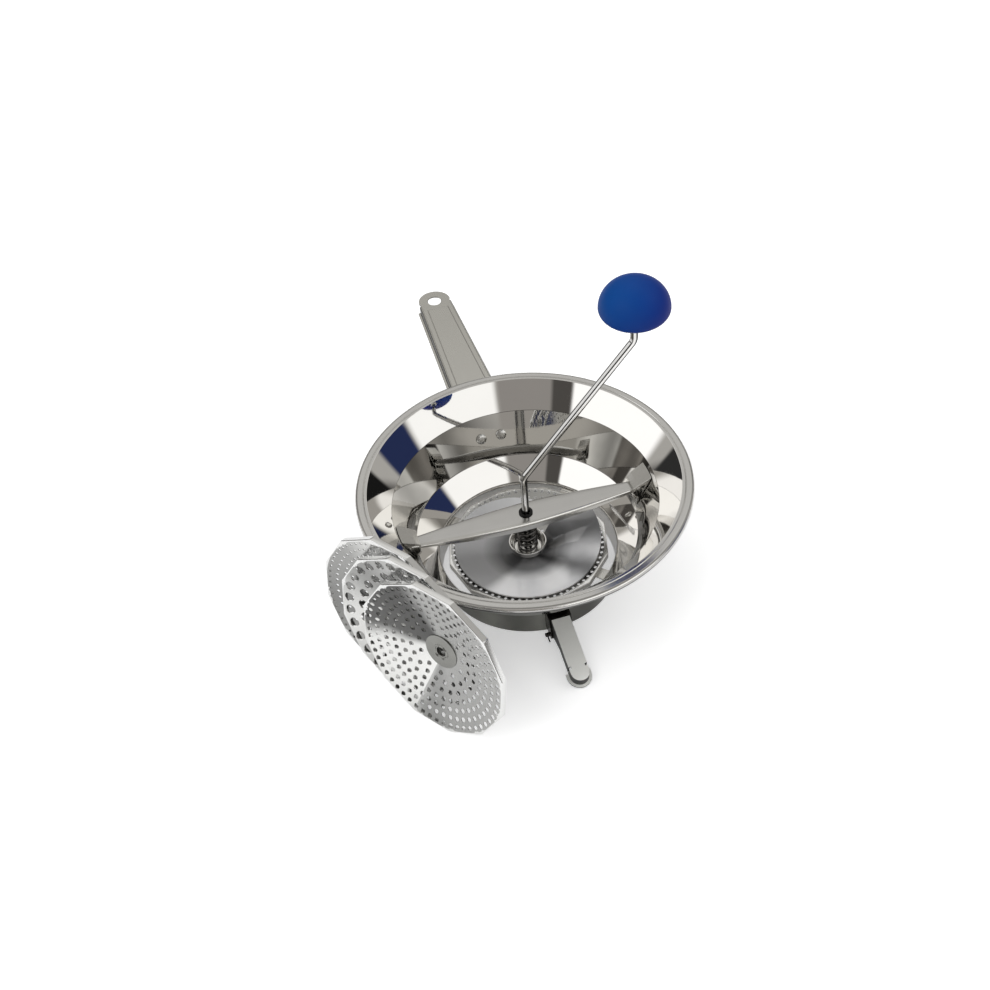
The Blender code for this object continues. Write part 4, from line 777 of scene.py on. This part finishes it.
def make_disc(node, sectors, radius, bevel, count, rings, start):
    """A pierced disc with its fold and turned-down rim, and its rolled hub washer."""
    place = disc_place(node, node + "_hub")
    holes = [(0.0, 0.0, HUB_BEAD_RADIUS + GAP, 0.0002, 32)]
    last = CONE_RADIUS - radius - 0.0006
    for k, amount in enumerate(rings):
        reach = start + (last - start) * k / (len(rings) - 1)
        for j in range(amount):
            angle = 2.0 * math.pi * (j + 0.5 * (k % 2)) / amount
            holes.append((reach * math.cos(angle), reach * math.sin(angle), radius, bevel, count))
    loops = [many_sided(DISC_FOLD + 0.0004)]
    for reach, steps in ((HUB_RADIUS - 0.0012, 72), (HUB_RADIUS + 0.0012, 72), (CONE_RADIUS + 0.0012, 132)):
        loops.append(circle(0.0, 0.0, reach, steps))
    bm = bmesh.new()
    smooth, normals = plate(bm, loops, holes, dish, DISC_SHEET, many_sided(DISC_SHEET + 0.0003))
    profile = [(DISC_FOLD + 0.0004, 0.0), (DISC_FOLD, 0.0)]
    profile += [(DISC_FOLD * (1.0 - math.sin(a)), DISC_FOLD * (math.cos(a) - 1.0)) for a in (0.39, 0.79, 1.18)]
    profile += [(0.0, -DISC_FOLD), (0.0, -DISC_FLANGE + 0.0002), (0.0002, -DISC_FLANGE),
                (DISC_SHEET - 0.0002, -DISC_FLANGE), (DISC_SHEET, -DISC_FLANGE + 0.0002),
                (DISC_SHEET, -DISC_SHEET - 0.0002), (DISC_SHEET + 0.0003, -DISC_SHEET)]
    rows = [[bm.verts.new((x, y, height)) for x, y in many_sided(inset)] for inset, height in profile]
    for a, b in zip(rows, rows[1:]):
        for k in range(len(a)):
            j = (k + 1) % len(a)
            bm.faces.new((a[k], b[k], b[j], a[j]))
    turn = place.to_3x3().to_4x4()
    spot = Matrix.Translation(place.translation)
    bm.transform(turn)
    normals = {vert: turn.to_3x3() @ normal for vert, normal in normals.items()}
    mesh = plate_mesh(node + "_plate", bm, smooth, normals)
    # Painted reflection: the disc's face is toned in sectors.
    look = sectored(node + "_steel", DISC_TINT, 0.23, sectors, turn)
    made = add_piece(node + "_plate", mesh, look, "mill", [node], spot, None)
    lid = CONE_RADIUS + 0.0006
    axis = place.col[2].to_3d()
    # Painted highlight: the rim faces take the lighter edge steel.
    repaint(made, EDGE_HIGHLIGHT_STEEL, lambda at, normal: (at - axis * at.dot(axis)).length > lid)

    face = -DISC_DISH
    under = face - DISC_SHEET
    edge = HUB_RADIUS - DISC_SHEET
    outline = [(edge, face + GAP), (edge, face + 0.6 * HUB_WASHER, 0.0004),
               (HUB_BEAD_RADIUS + 0.0016, face + HUB_WASHER, 0.0012),
               (HUB_BEAD_RADIUS, face + 0.0002, 0.0008), (HUB_BEAD_RADIUS - 0.0004, face + 0.0004, 0.0003),
               (HUB_HOLE_RADIUS + 0.0009, face + HUB_WASHER, 0.0006), (HUB_HOLE_RADIUS, face + 0.0006, 0.0005),
               (HUB_HOLE_RADIUS, under - GAP - DISC_SHEET, 0.0004),
               (HUB_BEAD_RADIUS + DISC_SHEET, under - GAP - DISC_SHEET, 0.0005),
               (HUB_BEAD_RADIUS + DISC_SHEET, under - GAP), (HUB_BEAD_RADIUS, under - GAP),
               (HUB_BEAD_RADIUS, face + GAP)]
    washer = turned(node + "_washer", rounded(outline, 4), 72)
    washer.transform(turn)
    add_piece(node + "_washer", washer, HUB_STEEL, "mill", [node + "_hub"], spot)


# Handle
def wall_at(height):
    """Outside radius of the bowl's steep wall."""
    share = (height - WALL_FOOT_HEIGHT) / (BRIM_FOOT_HEIGHT - WALL_FOOT_HEIGHT)
    return WALL_FOOT_RADIUS + share * (BRIM_FOOT_RADIUS - WALL_FOOT_RADIUS)


def make_handle():
    """Pressed plate with a round end and a framed panel, its turned-down sides with lips, and its tongue."""
    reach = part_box("handle")[1].y - AXIS_Y
    fold = 0.0022
    half_sheet = HANDLE_SHEET / 2.0
    curve = fold - half_sheet
    level = HANDLE_TOP - half_sheet
    floor = HANDLE_TOP - 0.0100 + half_sheet
    stand_off = GAP + half_sheet + 0.0003
    root = wall_at(HANDLE_TOP) + stand_off + fold
    tip = reach - HANDLE_TIP_WIDTH / 2.0
    end = tip - 0.12 * HANDLE_TIP_WIDTH

    def half_width(y):
        share = (y - wall_at(HANDLE_TOP)) / (reach - wall_at(HANDLE_TOP))
        return (HANDLE_ROOT_WIDTH + (HANDLE_TIP_WIDTH - HANDLE_ROOT_WIDTH) * share) / 2.0

    def root_edge(radius, width, height):
        return [(width * (j / 16.0 - 0.5), math.sqrt(radius ** 2 - (width * (j / 16.0 - 0.5)) ** 2), height)
                for j in range(17)]

    near_half = HANDLE_ROOT_WIDTH / 2.0
    near = math.sqrt(root * root - near_half * near_half)
    outline = [(x, y) for x, y, _ in root_edge(root, 2.0 * (half_width(near) - fold), level)]
    outline += [(half_width(end) - fold, end)]
    for k in range(29):
        angle = math.pi * k / 28.0
        outline.append((HANDLE_TIP_WIDTH / 2.0 * math.cos(angle), tip + HANDLE_TIP_WIDTH / 2.0 * math.sin(angle)))
    outline += [(-half_width(end) + fold, end)]

    def frame_line(inset):
        first = RIM_RADIUS + 0.0065 + inset
        last = tip - 0.0072 - 0.0065 - inset
        wide = half_width(first) - 0.0065 - inset
        narrow = half_width(last) - 0.0065 - inset
        return [(-wide, first), (wide, first), (narrow, last), (-narrow, last)]

    inside = frame_line(0.0)

    def panel(x, y):
        """Pressed panel, whose border slopes up over a millimetre."""
        first, last = inside[0][1], inside[2][1]
        share = (y - first) / (last - first)
        wide = inside[1][0] + (inside[2][0] - inside[1][0]) * share
        depth = min(wide - abs(x), y - first, last - y)
        return HANDLE_TOP + min(max(0.6 * depth, 0.0), 0.0006), (0.0, 0.0)

    bm = bmesh.new()
    holes = [(0.0, tip, 0.0072, 0.0005, 48)]
    smooth, normals = plate(bm, [outline, inside, frame_line(0.0010)], holes, panel, HANDLE_SHEET)
    mesh = plate_mesh("handle_top", bm, smooth, normals)
    add_piece("handle_top", mesh, HANDLE_SATIN, "mill", ["handle"], BOWL_AXIS, None)

    for side, name in ((1.0, "handle_side_right"), (-1.0, "handle_side_left")):
        rows = []
        for k in range(13):
            y = near + (end - near) * k / 12.0
            half = half_width(y) - half_sheet
            row = [(half - curve + curve * math.sin(a), level - curve * (1.0 - math.cos(a)))
                   for a in (0.0, 0.4, 0.8, 1.2, 1.571)]
            row += [(half, floor + 0.001), (half + 0.0003, floor + 0.0003), (half + 0.001, floor)]
            row += [(half + HANDLE_LIP, floor)]
            rows.append([(side * x, y, z) for x, z in row])
        add_piece(name, sheet_rows(name, rows, HANDLE_SHEET), HANDLE_SATIN, "mill", ["handle"])

    rows = []
    for a in (0.0, 0.4, 0.8, 1.2, 1.5):
        rows.append(root_edge(root - fold * math.sin(a), HANDLE_ROOT_WIDTH - 2.0 * fold,
                              level - fold * (1.0 - math.cos(a))))
    for k in range(1, 12):
        share = k / 11.0
        height = level - fold - (0.0330 - fold) * share
        width = HANDLE_ROOT_WIDTH - 2.0 * fold - (HANDLE_ROOT_WIDTH - 2.0 * fold - 0.0360) * min(1.5 * share, 1.0)
        rows.append(root_edge(wall_at(height) + stand_off, width, height))
    add_piece("handle_tongue", sheet_rows("handle_tongue", rows, HANDLE_SHEET), SATIN,
              "mill", ["handle"])


def make_rivet(node, head, height, shank):
    """Rivet with two domed heads, on the CAD rivet's axis."""
    centre, axis, reach = turning_axis(node)
    under = reach - height
    outline = [(0.0, reach), (0.62 * head, reach - 0.1 * height, 0.004), (head, under + 0.2 * height, 0.0006),
               (head, under), (shank, under), (shank, -under), (head, -under), (head, -under - 0.2 * height, 0.0006),
               (0.62 * head, 0.1 * height - reach, 0.004), (0.0, -reach)]
    rivet = turned(node + "_form", rounded(outline), 40)
    rivet.transform(axis.to_track_quat("Z", "Y").to_matrix().to_4x4())
    add_piece(node + "_form", rivet, SATIN, "mill", [node], Matrix.Translation(centre))


# Cross bar
def make_bar():
    """Lens shaped strip with rolled edges and a hole for its bush."""
    low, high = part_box("cross_bar")
    reach = (high.x - low.x) / 2.0
    fold = 0.0022
    half_sheet = BAR_SHEET / 2.0
    rows = []
    for k in range(73):
        x = reach * (2.0 * k / 72.0 - 1.0)
        share = abs(x) / reach
        wide = (BAR_END_WIDTH + (BAR_MID_WIDTH - BAR_END_WIDTH) * (1.0 - share ** 1.6)) / 2.0 - half_sheet
        drop = max(BAR_END_FLANGE + (BAR_MID_FLANGE - BAR_END_FLANGE) * (1.0 - share * share), 1.2 * BAR_SHEET)
        bend = min(fold, 0.8 * (drop - half_sheet))
        top = BAR_TOP - half_sheet
        side = [(wide, BAR_TOP - drop)]
        for j in range(7):
            angle = math.pi / 2.0 * j / 6.0
            side.append((wide - bend * (1.0 - math.cos(angle)), top - bend * (1.0 - math.sin(angle))))
        row = [(x, -y, z) for y, z in side]
        row += [(x, y, top) for y in (-0.4 * wide, 0.0, 0.4 * wide)]
        row += [(x, y, z) for y, z in side[::-1]]
        rows.append(row)
    strip = sheet_rows("bar_strip", rows, BAR_SHEET)
    drill = bpy.data.objects.new("drill", turned("drill", [(0.0, BAR_TOP + 0.01), (BUSH_RADIUS + GAP, BAR_TOP + 0.01),
                                                          (BUSH_RADIUS + GAP, BAR_TOP - 0.01), (0.0, BAR_TOP - 0.01)]))
    bpy.context.scene.collection.objects.link(drill)
    cut = {"operation": "DIFFERENCE", "object": drill, "solver": "EXACT"}
    strip = applied("bar_strip", strip, ("BOOLEAN", cut))
    bpy.data.objects.remove(drill)
    add_piece("bar_strip", strip, BAR_SATIN, "mill", ["cross_bar"])
    seat = BAR_TOP + GAP
    bore = ROD_RADIUS + 2.0 * GAP
    outline = [(bore, seat + 0.0014, 0.0005), (BUSH_FLANGE_RADIUS, seat + 0.0014, 0.0006), (BUSH_FLANGE_RADIUS, seat),
               (BUSH_RADIUS, seat), (BUSH_RADIUS, BAR_TOP - BAR_SHEET - GAP), (bore, BAR_TOP - BAR_SHEET - GAP)]
    add_piece("bush_ring", turned("bush_ring", rounded(outline), 48), BLACK, "mill", ["bar_bush"])


# Crank, knob and rotor
def make_crank():
    low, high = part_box("crank_rod")
    corners = [(0.0, 0.0, low.z), (0.0, 0.0, 0.116), (CRANK_RADIUS, 0.0, 0.245), (CRANK_RADIUS, 0.0, high.z)]
    rod = wire("rod_form", bent_path(corners, BEND_RADIUS, 24), ROD_RADIUS, 32)
    add_piece("rod_form", rod, ROD_CHROME, "rotor", ["crank_rod"])


def make_knob():
    low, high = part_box("knob")
    widest = high.z - 0.0270
    outline = [(0.0, high.z)]
    for k in range(1, 25):
        angle = math.pi / 2.0 * (1.0 - k / 24.0)
        outline.append((KNOB_RADIUS * math.cos(angle), widest + 0.0270 * math.sin(angle)))
    for k in range(1, 17):
        angle = math.pi / 2.0 * k / 16.0
        outline.append((KNOB_FOOT_RADIUS + (KNOB_RADIUS - KNOB_FOOT_RADIUS) * math.cos(angle),
                        widest - (widest - low.z) * math.sin(angle)))
    bore = ROD_RADIUS + GAP
    outline += [(bore, low.z), (bore, low.z + 0.0176), (0.0065, low.z + 0.0176), (0.0065, low.z + 0.0240),
                (0.0, low.z + 0.0240)]
    add_piece("knob_form", turned("knob_form", outline, 96), BLUE, "knob", ["knob"], KNOB_AXIS)
    low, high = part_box("knob_collar")
    outline = [(bore, high.z), (0.0055, high.z, 0.0003), (0.0055, high.z - 0.0015, 0.0004), (0.0047, low.z, 0.0003),
               (bore, low.z)]
    add_piece("collar_form", turned("collar_form", rounded(outline), 40), SATIN, "rotor",
              ["knob_collar"], KNOB_AXIS)


def make_boss():
    low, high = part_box("rotor_boss")
    floor = high.z - 0.0095
    bore = ROD_RADIUS + GAP
    waist = 0.8 * BOSS_STEM_RADIUS
    flat = 0.0113
    inside = []
    outside = []
    for k in range(13):
        angle = math.pi / 2.0 * k / 12.0
        inside.append((flat + (BOSS_CUP_RADIUS - BOSS_SHEET - flat) * math.sin(angle),
                       floor + (high.z - floor) * (1.0 - math.cos(angle))))
        outside.append((BOSS_STEM_RADIUS + (BOSS_CUP_RADIUS - BOSS_STEM_RADIUS) * math.sin(angle),
                        floor - BOSS_SHEET + (high.z - floor + BOSS_SHEET) * (1.0 - math.cos(angle))))
    inside[-1] = (*inside[-1], 0.0007)
    outside[-1] = (*outside[-1], 0.0007)
    outline = [(bore, floor)] + inside + outside[::-1]
    outline += [(waist, floor - 2.0 * BOSS_SHEET, 0.001), (waist, low.z + BOSS_SHEET, 0.001),
                (BOSS_STEM_RADIUS, low.z, 0.0003), (bore, low.z)]
    add_piece("boss_form", turned("boss_form", rounded(outline), 96), POLISHED, "rotor", ["rotor_boss"])


def make_blade():
    """Dished plate of nearly one turn, which climbs over a crease to its raised leading edge."""
    start = math.radians(28.0)
    sweep = math.radians(322.0)
    inner_radius = 1.05 * BOSS_STEM_RADIUS
    disc_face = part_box("fitted_disc")[1].z
    level = disc_face - DISC_DISH + HUB_WASHER + 2.0 * GAP + BLADE_SHEET / 2.0
    columns = 180
    rows = []
    for k in range(columns + 1):
        share = k / columns
        angle = start - sweep * share
        lift = 0.0150 * max(0.0, 1.0 - share / 0.31) ** 1.5
        edge = BLADE_RADIUS * (1.0 - 0.16 * max(0.0, 4.0 * share - 3.0) ** 2)
        crease = 0.0030 * max(0.0, 1.0 - 16.0 * abs(share - 0.16))
        row = [(math.cos(angle) * (ROD_RADIUS + GAP + BLADE_SHEET / 2.0),
                math.sin(angle) * (ROD_RADIUS + GAP + BLADE_SHEET / 2.0), level)]
        for j in range(25):
            part = j / 24.0
            radius = inner_radius + (edge - inner_radius) * part
            height = level + DISC_DISH + dish(radius, 0.0)[0]
            height += lift * min(2.4 * part, 1.0) + crease * math.sin(math.pi * part)
            row.append((radius * math.cos(angle), radius * math.sin(angle), height))
        row[0] = (*row[0][:2], row[1][2])
        rows.append(row)
    add_piece("blade_form", sheet_rows("blade_form", rows, BLADE_SHEET), BLADE_STEEL, "rotor",
              ["rotor_blade"], smooth=50.0)


def make_spring():
    low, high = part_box("pressure_spring")
    bottom = low.z + SPRING_WIRE
    top = high.z - SPRING_WIRE
    per_turn = 36
    count = round(SPRING_TURNS * per_turn)
    flat_share = 0.75 / SPRING_TURNS
    half_pitch = SPRING_WIRE + GAP
    points = []
    for k in range(count + 1):
        share = k / count
        angle = 2.0 * math.pi * SPRING_TURNS * share
        ease_in = min(share / flat_share, 1.0)
        ease_out = min((1.0 - share) / flat_share, 1.0)
        middle = min(max((share - flat_share) / (1.0 - 2.0 * flat_share), 0.0), 1.0)
        climb = (top - bottom - 2.0 * half_pitch) * middle
        height = bottom + climb + half_pitch * (1.0 + ease_in ** 2 - ease_out ** 2)
        points.append(Vector((SPRING_RADIUS * math.cos(angle), SPRING_RADIUS * math.sin(angle), height)))
    made = add_piece("spring_form", wire("spring_form", points, SPRING_WIRE, 14), SPRING_STEEL, "mill",
                     ["pressure_spring"])
    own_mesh(made)


def make_washer(node, body):
    low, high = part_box(node)
    bore = ROD_RADIUS + 2.0 * GAP
    outline = [(bore, high.z, 0.0002), (0.0110, high.z, 0.0003), (0.0110, low.z, 0.0002), (bore, low.z, 0.0002)]
    add_piece(node + "_form", turned(node + "_form", rounded(outline), 64), SATIN, body, [node])


make_bowl()
make_handle()
for name in ("handle_rivet_right", "handle_rivet_left"):
    make_rivet(name, 0.0052, 0.0016, 0.0027)
for name in ("bracket_rivet_lower", "bracket_rivet_upper"):
    make_rivet(name, 0.0036, 0.0011, 0.0019)
make_disc("fitted_disc", FITTED_SECTORS, 0.0015, 0.0003, 10, (12, 20, 28, 36, 44, 52, 60, 68), 0.0225)
make_disc("fine_disc", FINE_SECTORS, 0.0012, 0.0003, 8, (18, 26, 34, 40, 48, 54, 60, 66), 0.0216)
make_disc("coarse_disc", COARSE_SECTORS, 0.0042, 0.0008, 24, (12, 18, 24, 30), 0.0285)
make_disc("medium_disc", MEDIUM_SECTORS, 0.0021, 0.0004, 12, (11, 20, 25, 36, 44, 50, 56), 0.0240)
make_bar()
make_crank()
make_knob()
make_boss()
make_blade()
make_spring()
make_washer("spring_top_washer", "mill")
make_washer("spring_seat_washer", "lift")
for name in ("bar_clip_right", "bar_clip_left"):
    eased(name, 0.0005, SATIN, "mill")
eased("leg_bracket", 0.0004, DARK_STEEL, "mill")
eased("folding_leg", 0.0005, LEG_SATIN, "leg")
eased("leg_hinge_pin", 0.0003, DARK_STEEL, "mill")
eased("leg_pin_cotter", 0.0001, DARK_STEEL, "mill")
for name, node in frame["nodes"].items():
    if not node.hide_render:
        for slot in node.material_slots:
            slot.material = SATIN


# Studio
def backdrop_fill(nodes, links):
    """Glow that fills the paper up to white where the camera sees it, and part of the way in the metal.

    Past the lamps' reach the paper glows white by itself."""
    path = nodes.new("ShaderNodeLightPath")
    away = nodes.new("ShaderNodeVectorMath")
    away.operation = "LENGTH"
    links.new(nodes.new("ShaderNodeTexCoord").outputs["Object"], away.inputs[0])
    beyond = ranged(nodes, links, away.outputs["Value"], 0.7, 2.2, 0.0, 0.5)
    fill = None
    for ray, amount in (("Is Camera Ray", FLOOR_FILL), ("Is Transmission Ray", FLOOR_FILL), ("Is Glossy Ray", MIRROR_FILL)):
        part = nodes.new("ShaderNodeMath")
        part.operation = "MULTIPLY_ADD"
        level = nodes.new("ShaderNodeMath")
        level.operation = "ADD"
        level.inputs[1].default_value = amount
        links.new(beyond, level.inputs[0])
        links.new(level.outputs["Value"], part.inputs[1])
        part.inputs[2].default_value = 0.0
        links.new(path.outputs[ray], part.inputs[0])
        if fill is not None:
            links.new(fill, part.inputs[2])
        fill = part.outputs["Value"]
    return fill


def make_floor():
    """Pale paper, which the camera and the metal see filled up to white outside the shadow."""
    bm = bmesh.new()
    bmesh.ops.create_grid(bm, x_segments=24, y_segments=24, size=4.0)
    mesh = bpy.data.meshes.new("floor")
    bm.to_mesh(mesh)
    bm.free()
    floor = bpy.data.objects.new("floor", mesh)
    bpy.context.scene.collection.objects.link(floor)
    floor.location.z = -0.0004
    made, nodes, links, shader = node_tools("floor_paper")
    grain = noise(nodes, links, nodes.new("ShaderNodeTexCoord").outputs["Object"], 300.0, 3.0)
    tone = nodes.new("ShaderNodeMixRGB")
    tone.inputs["Color1"].default_value = (0.90, 0.90, 0.90, 1.0)
    tone.inputs["Color2"].default_value = (0.94, 0.94, 0.94, 1.0)
    links.new(grain, tone.inputs["Fac"])
    links.new(tone.outputs["Color"], shader.inputs["Base Color"])
    shader.inputs["Roughness"].default_value = 0.9
    shader.inputs["Specular IOR Level"].default_value = 0.0
    shader.inputs["Emission Color"].default_value = (1.0, 1.0, 1.0, 1.0)
    links.new(backdrop_fill(nodes, links), shader.inputs["Emission Strength"])
    mesh.materials.append(made)


def soft_light(name, place, size, power):
    """Large lamp aimed at the mill, which the metal sees only through the studio's cards."""
    lamp = bpy.data.lights.new(name, "AREA")
    lamp.shape = "RECTANGLE"
    lamp.size, lamp.size_y = size
    lamp.energy = power
    made = bpy.data.objects.new(name, lamp)
    bpy.context.scene.collection.objects.link(made)
    made.location = place
    made.rotation_euler = (Vector((0.0, 0.0, 0.1)) - Vector(place)).to_track_quat("-Z", "Y").to_euler()
    made.visible_glossy = False


def card(nodes, links, direction, centre, half_size, soft):
    """How far a direction lies in a card of the studio, from its azimuth and elevation in degrees."""
    turn = nodes.new("ShaderNodeVectorRotate")
    turn.rotation_type = "Z_AXIS"
    turn.inputs["Angle"].default_value = math.radians(-centre[0])
    links.new(direction, turn.inputs["Vector"])
    split = nodes.new("ShaderNodeSeparateXYZ")
    links.new(turn.outputs["Vector"], split.inputs["Vector"])
    around = nodes.new("ShaderNodeMath")
    around.operation = "ARCTAN2"
    links.new(split.outputs["Y"], around.inputs[0])
    links.new(split.outputs["X"], around.inputs[1])
    above = nodes.new("ShaderNodeMath")
    above.operation = "ARCSINE"
    links.new(split.outputs["Z"], above.inputs[0])
    inside = []
    for value, middle, half in ((around, 0.0, half_size[0]), (above, centre[1], half_size[1])):
        away = nodes.new("ShaderNodeMath")
        away.operation = "SUBTRACT"
        away.inputs[1].default_value = math.radians(middle)
        links.new(value.outputs["Value"], away.inputs[0])
        size = nodes.new("ShaderNodeMath")
        size.operation = "ABSOLUTE"
        links.new(away.outputs["Value"], size.inputs[0])
        edge = nodes.new("ShaderNodeMapRange")
        edge.interpolation_type = "SMOOTHSTEP"
        edge.inputs["From Min"].default_value = math.radians(half - soft / 2.0)
        edge.inputs["From Max"].default_value = math.radians(half + soft / 2.0)
        edge.inputs["To Min"].default_value = 1.0
        edge.inputs["To Max"].default_value = 0.0
        links.new(size.outputs["Value"], edge.inputs["Value"])
        inside.append(edge.outputs["Result"])
    both = nodes.new("ShaderNodeMath")
    both.operation = "MULTIPLY"
    links.new(inside[0], both.inputs[0])
    links.new(inside[1], both.inputs[1])
    return both.outputs["Value"]


def make_world():
    """Plain grey light; the metal sees white and dark cards round the mill, and the camera sees white."""
    world = bpy.data.worlds.new("studio")
    bpy.context.scene.world = world
    world.use_nodes = True
    nodes, links = world.node_tree.nodes, world.node_tree.links
    direction = nodes.new("ShaderNodeTexCoord").outputs["Generated"]
    seen = nodes.new("ShaderNodeRGB")
    seen.outputs["Color"].default_value = (*ROOM_TONE, 1.0)
    colour = seen.outputs["Color"]
    for centre, half_size, soft, tone in CARDS:
        mix = nodes.new("ShaderNodeMixRGB")
        mix.inputs["Color2"].default_value = (*tone, 1.0)
        links.new(card(nodes, links, direction, centre, half_size, soft), mix.inputs["Fac"])
        links.new(colour, mix.inputs["Color1"])
        colour = mix.outputs["Color"]
    back = nodes["Background"]
    back.inputs["Color"].default_value = (0.80, 0.80, 0.80, 1.0)
    back.inputs["Strength"].default_value = AMBIENT
    for ray, mirrored in (("Is Glossy Ray", True), ("Is Transmission Ray", False), ("Is Camera Ray", False)):
        other = nodes.new("ShaderNodeBackground")
        other.inputs["Color"].default_value = (1.0, 1.0, 1.0, 1.0)
        if mirrored:
            links.new(colour, other.inputs["Color"])
        pick = nodes.new("ShaderNodeMixShader")
        links.new(nodes.new("ShaderNodeLightPath").outputs[ray], pick.inputs["Fac"])
        links.new(back.outputs[0], pick.inputs[1])
        links.new(other.outputs["Background"], pick.inputs[2])
        back = pick
    links.new(back.outputs[0], nodes["World Output"].inputs["Surface"])


def make_camera():
    camera = bpy.data.cameras.new("camera")
    camera.lens = FOCAL_LENGTH
    camera.sensor_width = SENSOR_WIDTH
    camera.clip_start = 0.05
    made = bpy.data.objects.new("camera", camera)
    bpy.context.scene.collection.objects.link(made)
    place = BOWL_AXIS @ Vector(CAMERA_PLACE)
    forward = (BOWL_AXIS @ Vector(CAMERA_AIM) - place).normalized()
    level = forward.cross(Vector((0.0, 0.0, 1.0))).normalized()
    upward = level.cross(forward)
    right = level * math.cos(CAMERA_ROLL) + upward * math.sin(CAMERA_ROLL)
    up = right.cross(forward)
    turn = Matrix((right, up, -forward)).transposed().to_4x4()
    made.matrix_world = Matrix.Translation(place) @ turn
    bpy.context.scene.camera = made


make_floor()
make_world()
soft_light("key", (-1.3, -0.5, 1.6), (1.4, 1.4), 16.0)
soft_light("fill", (1.3, -0.3, 1.5), (1.2, 1.2), 9.0)
soft_light("front", (-0.2, -1.8, 0.9), (1.2, 0.6), 7.0)
soft_light("top", (0.0, 0.8, 1.9), (2.0, 1.2), 12.0)
make_camera()
bpy.context.scene.view_settings.view_transform = "Standard"
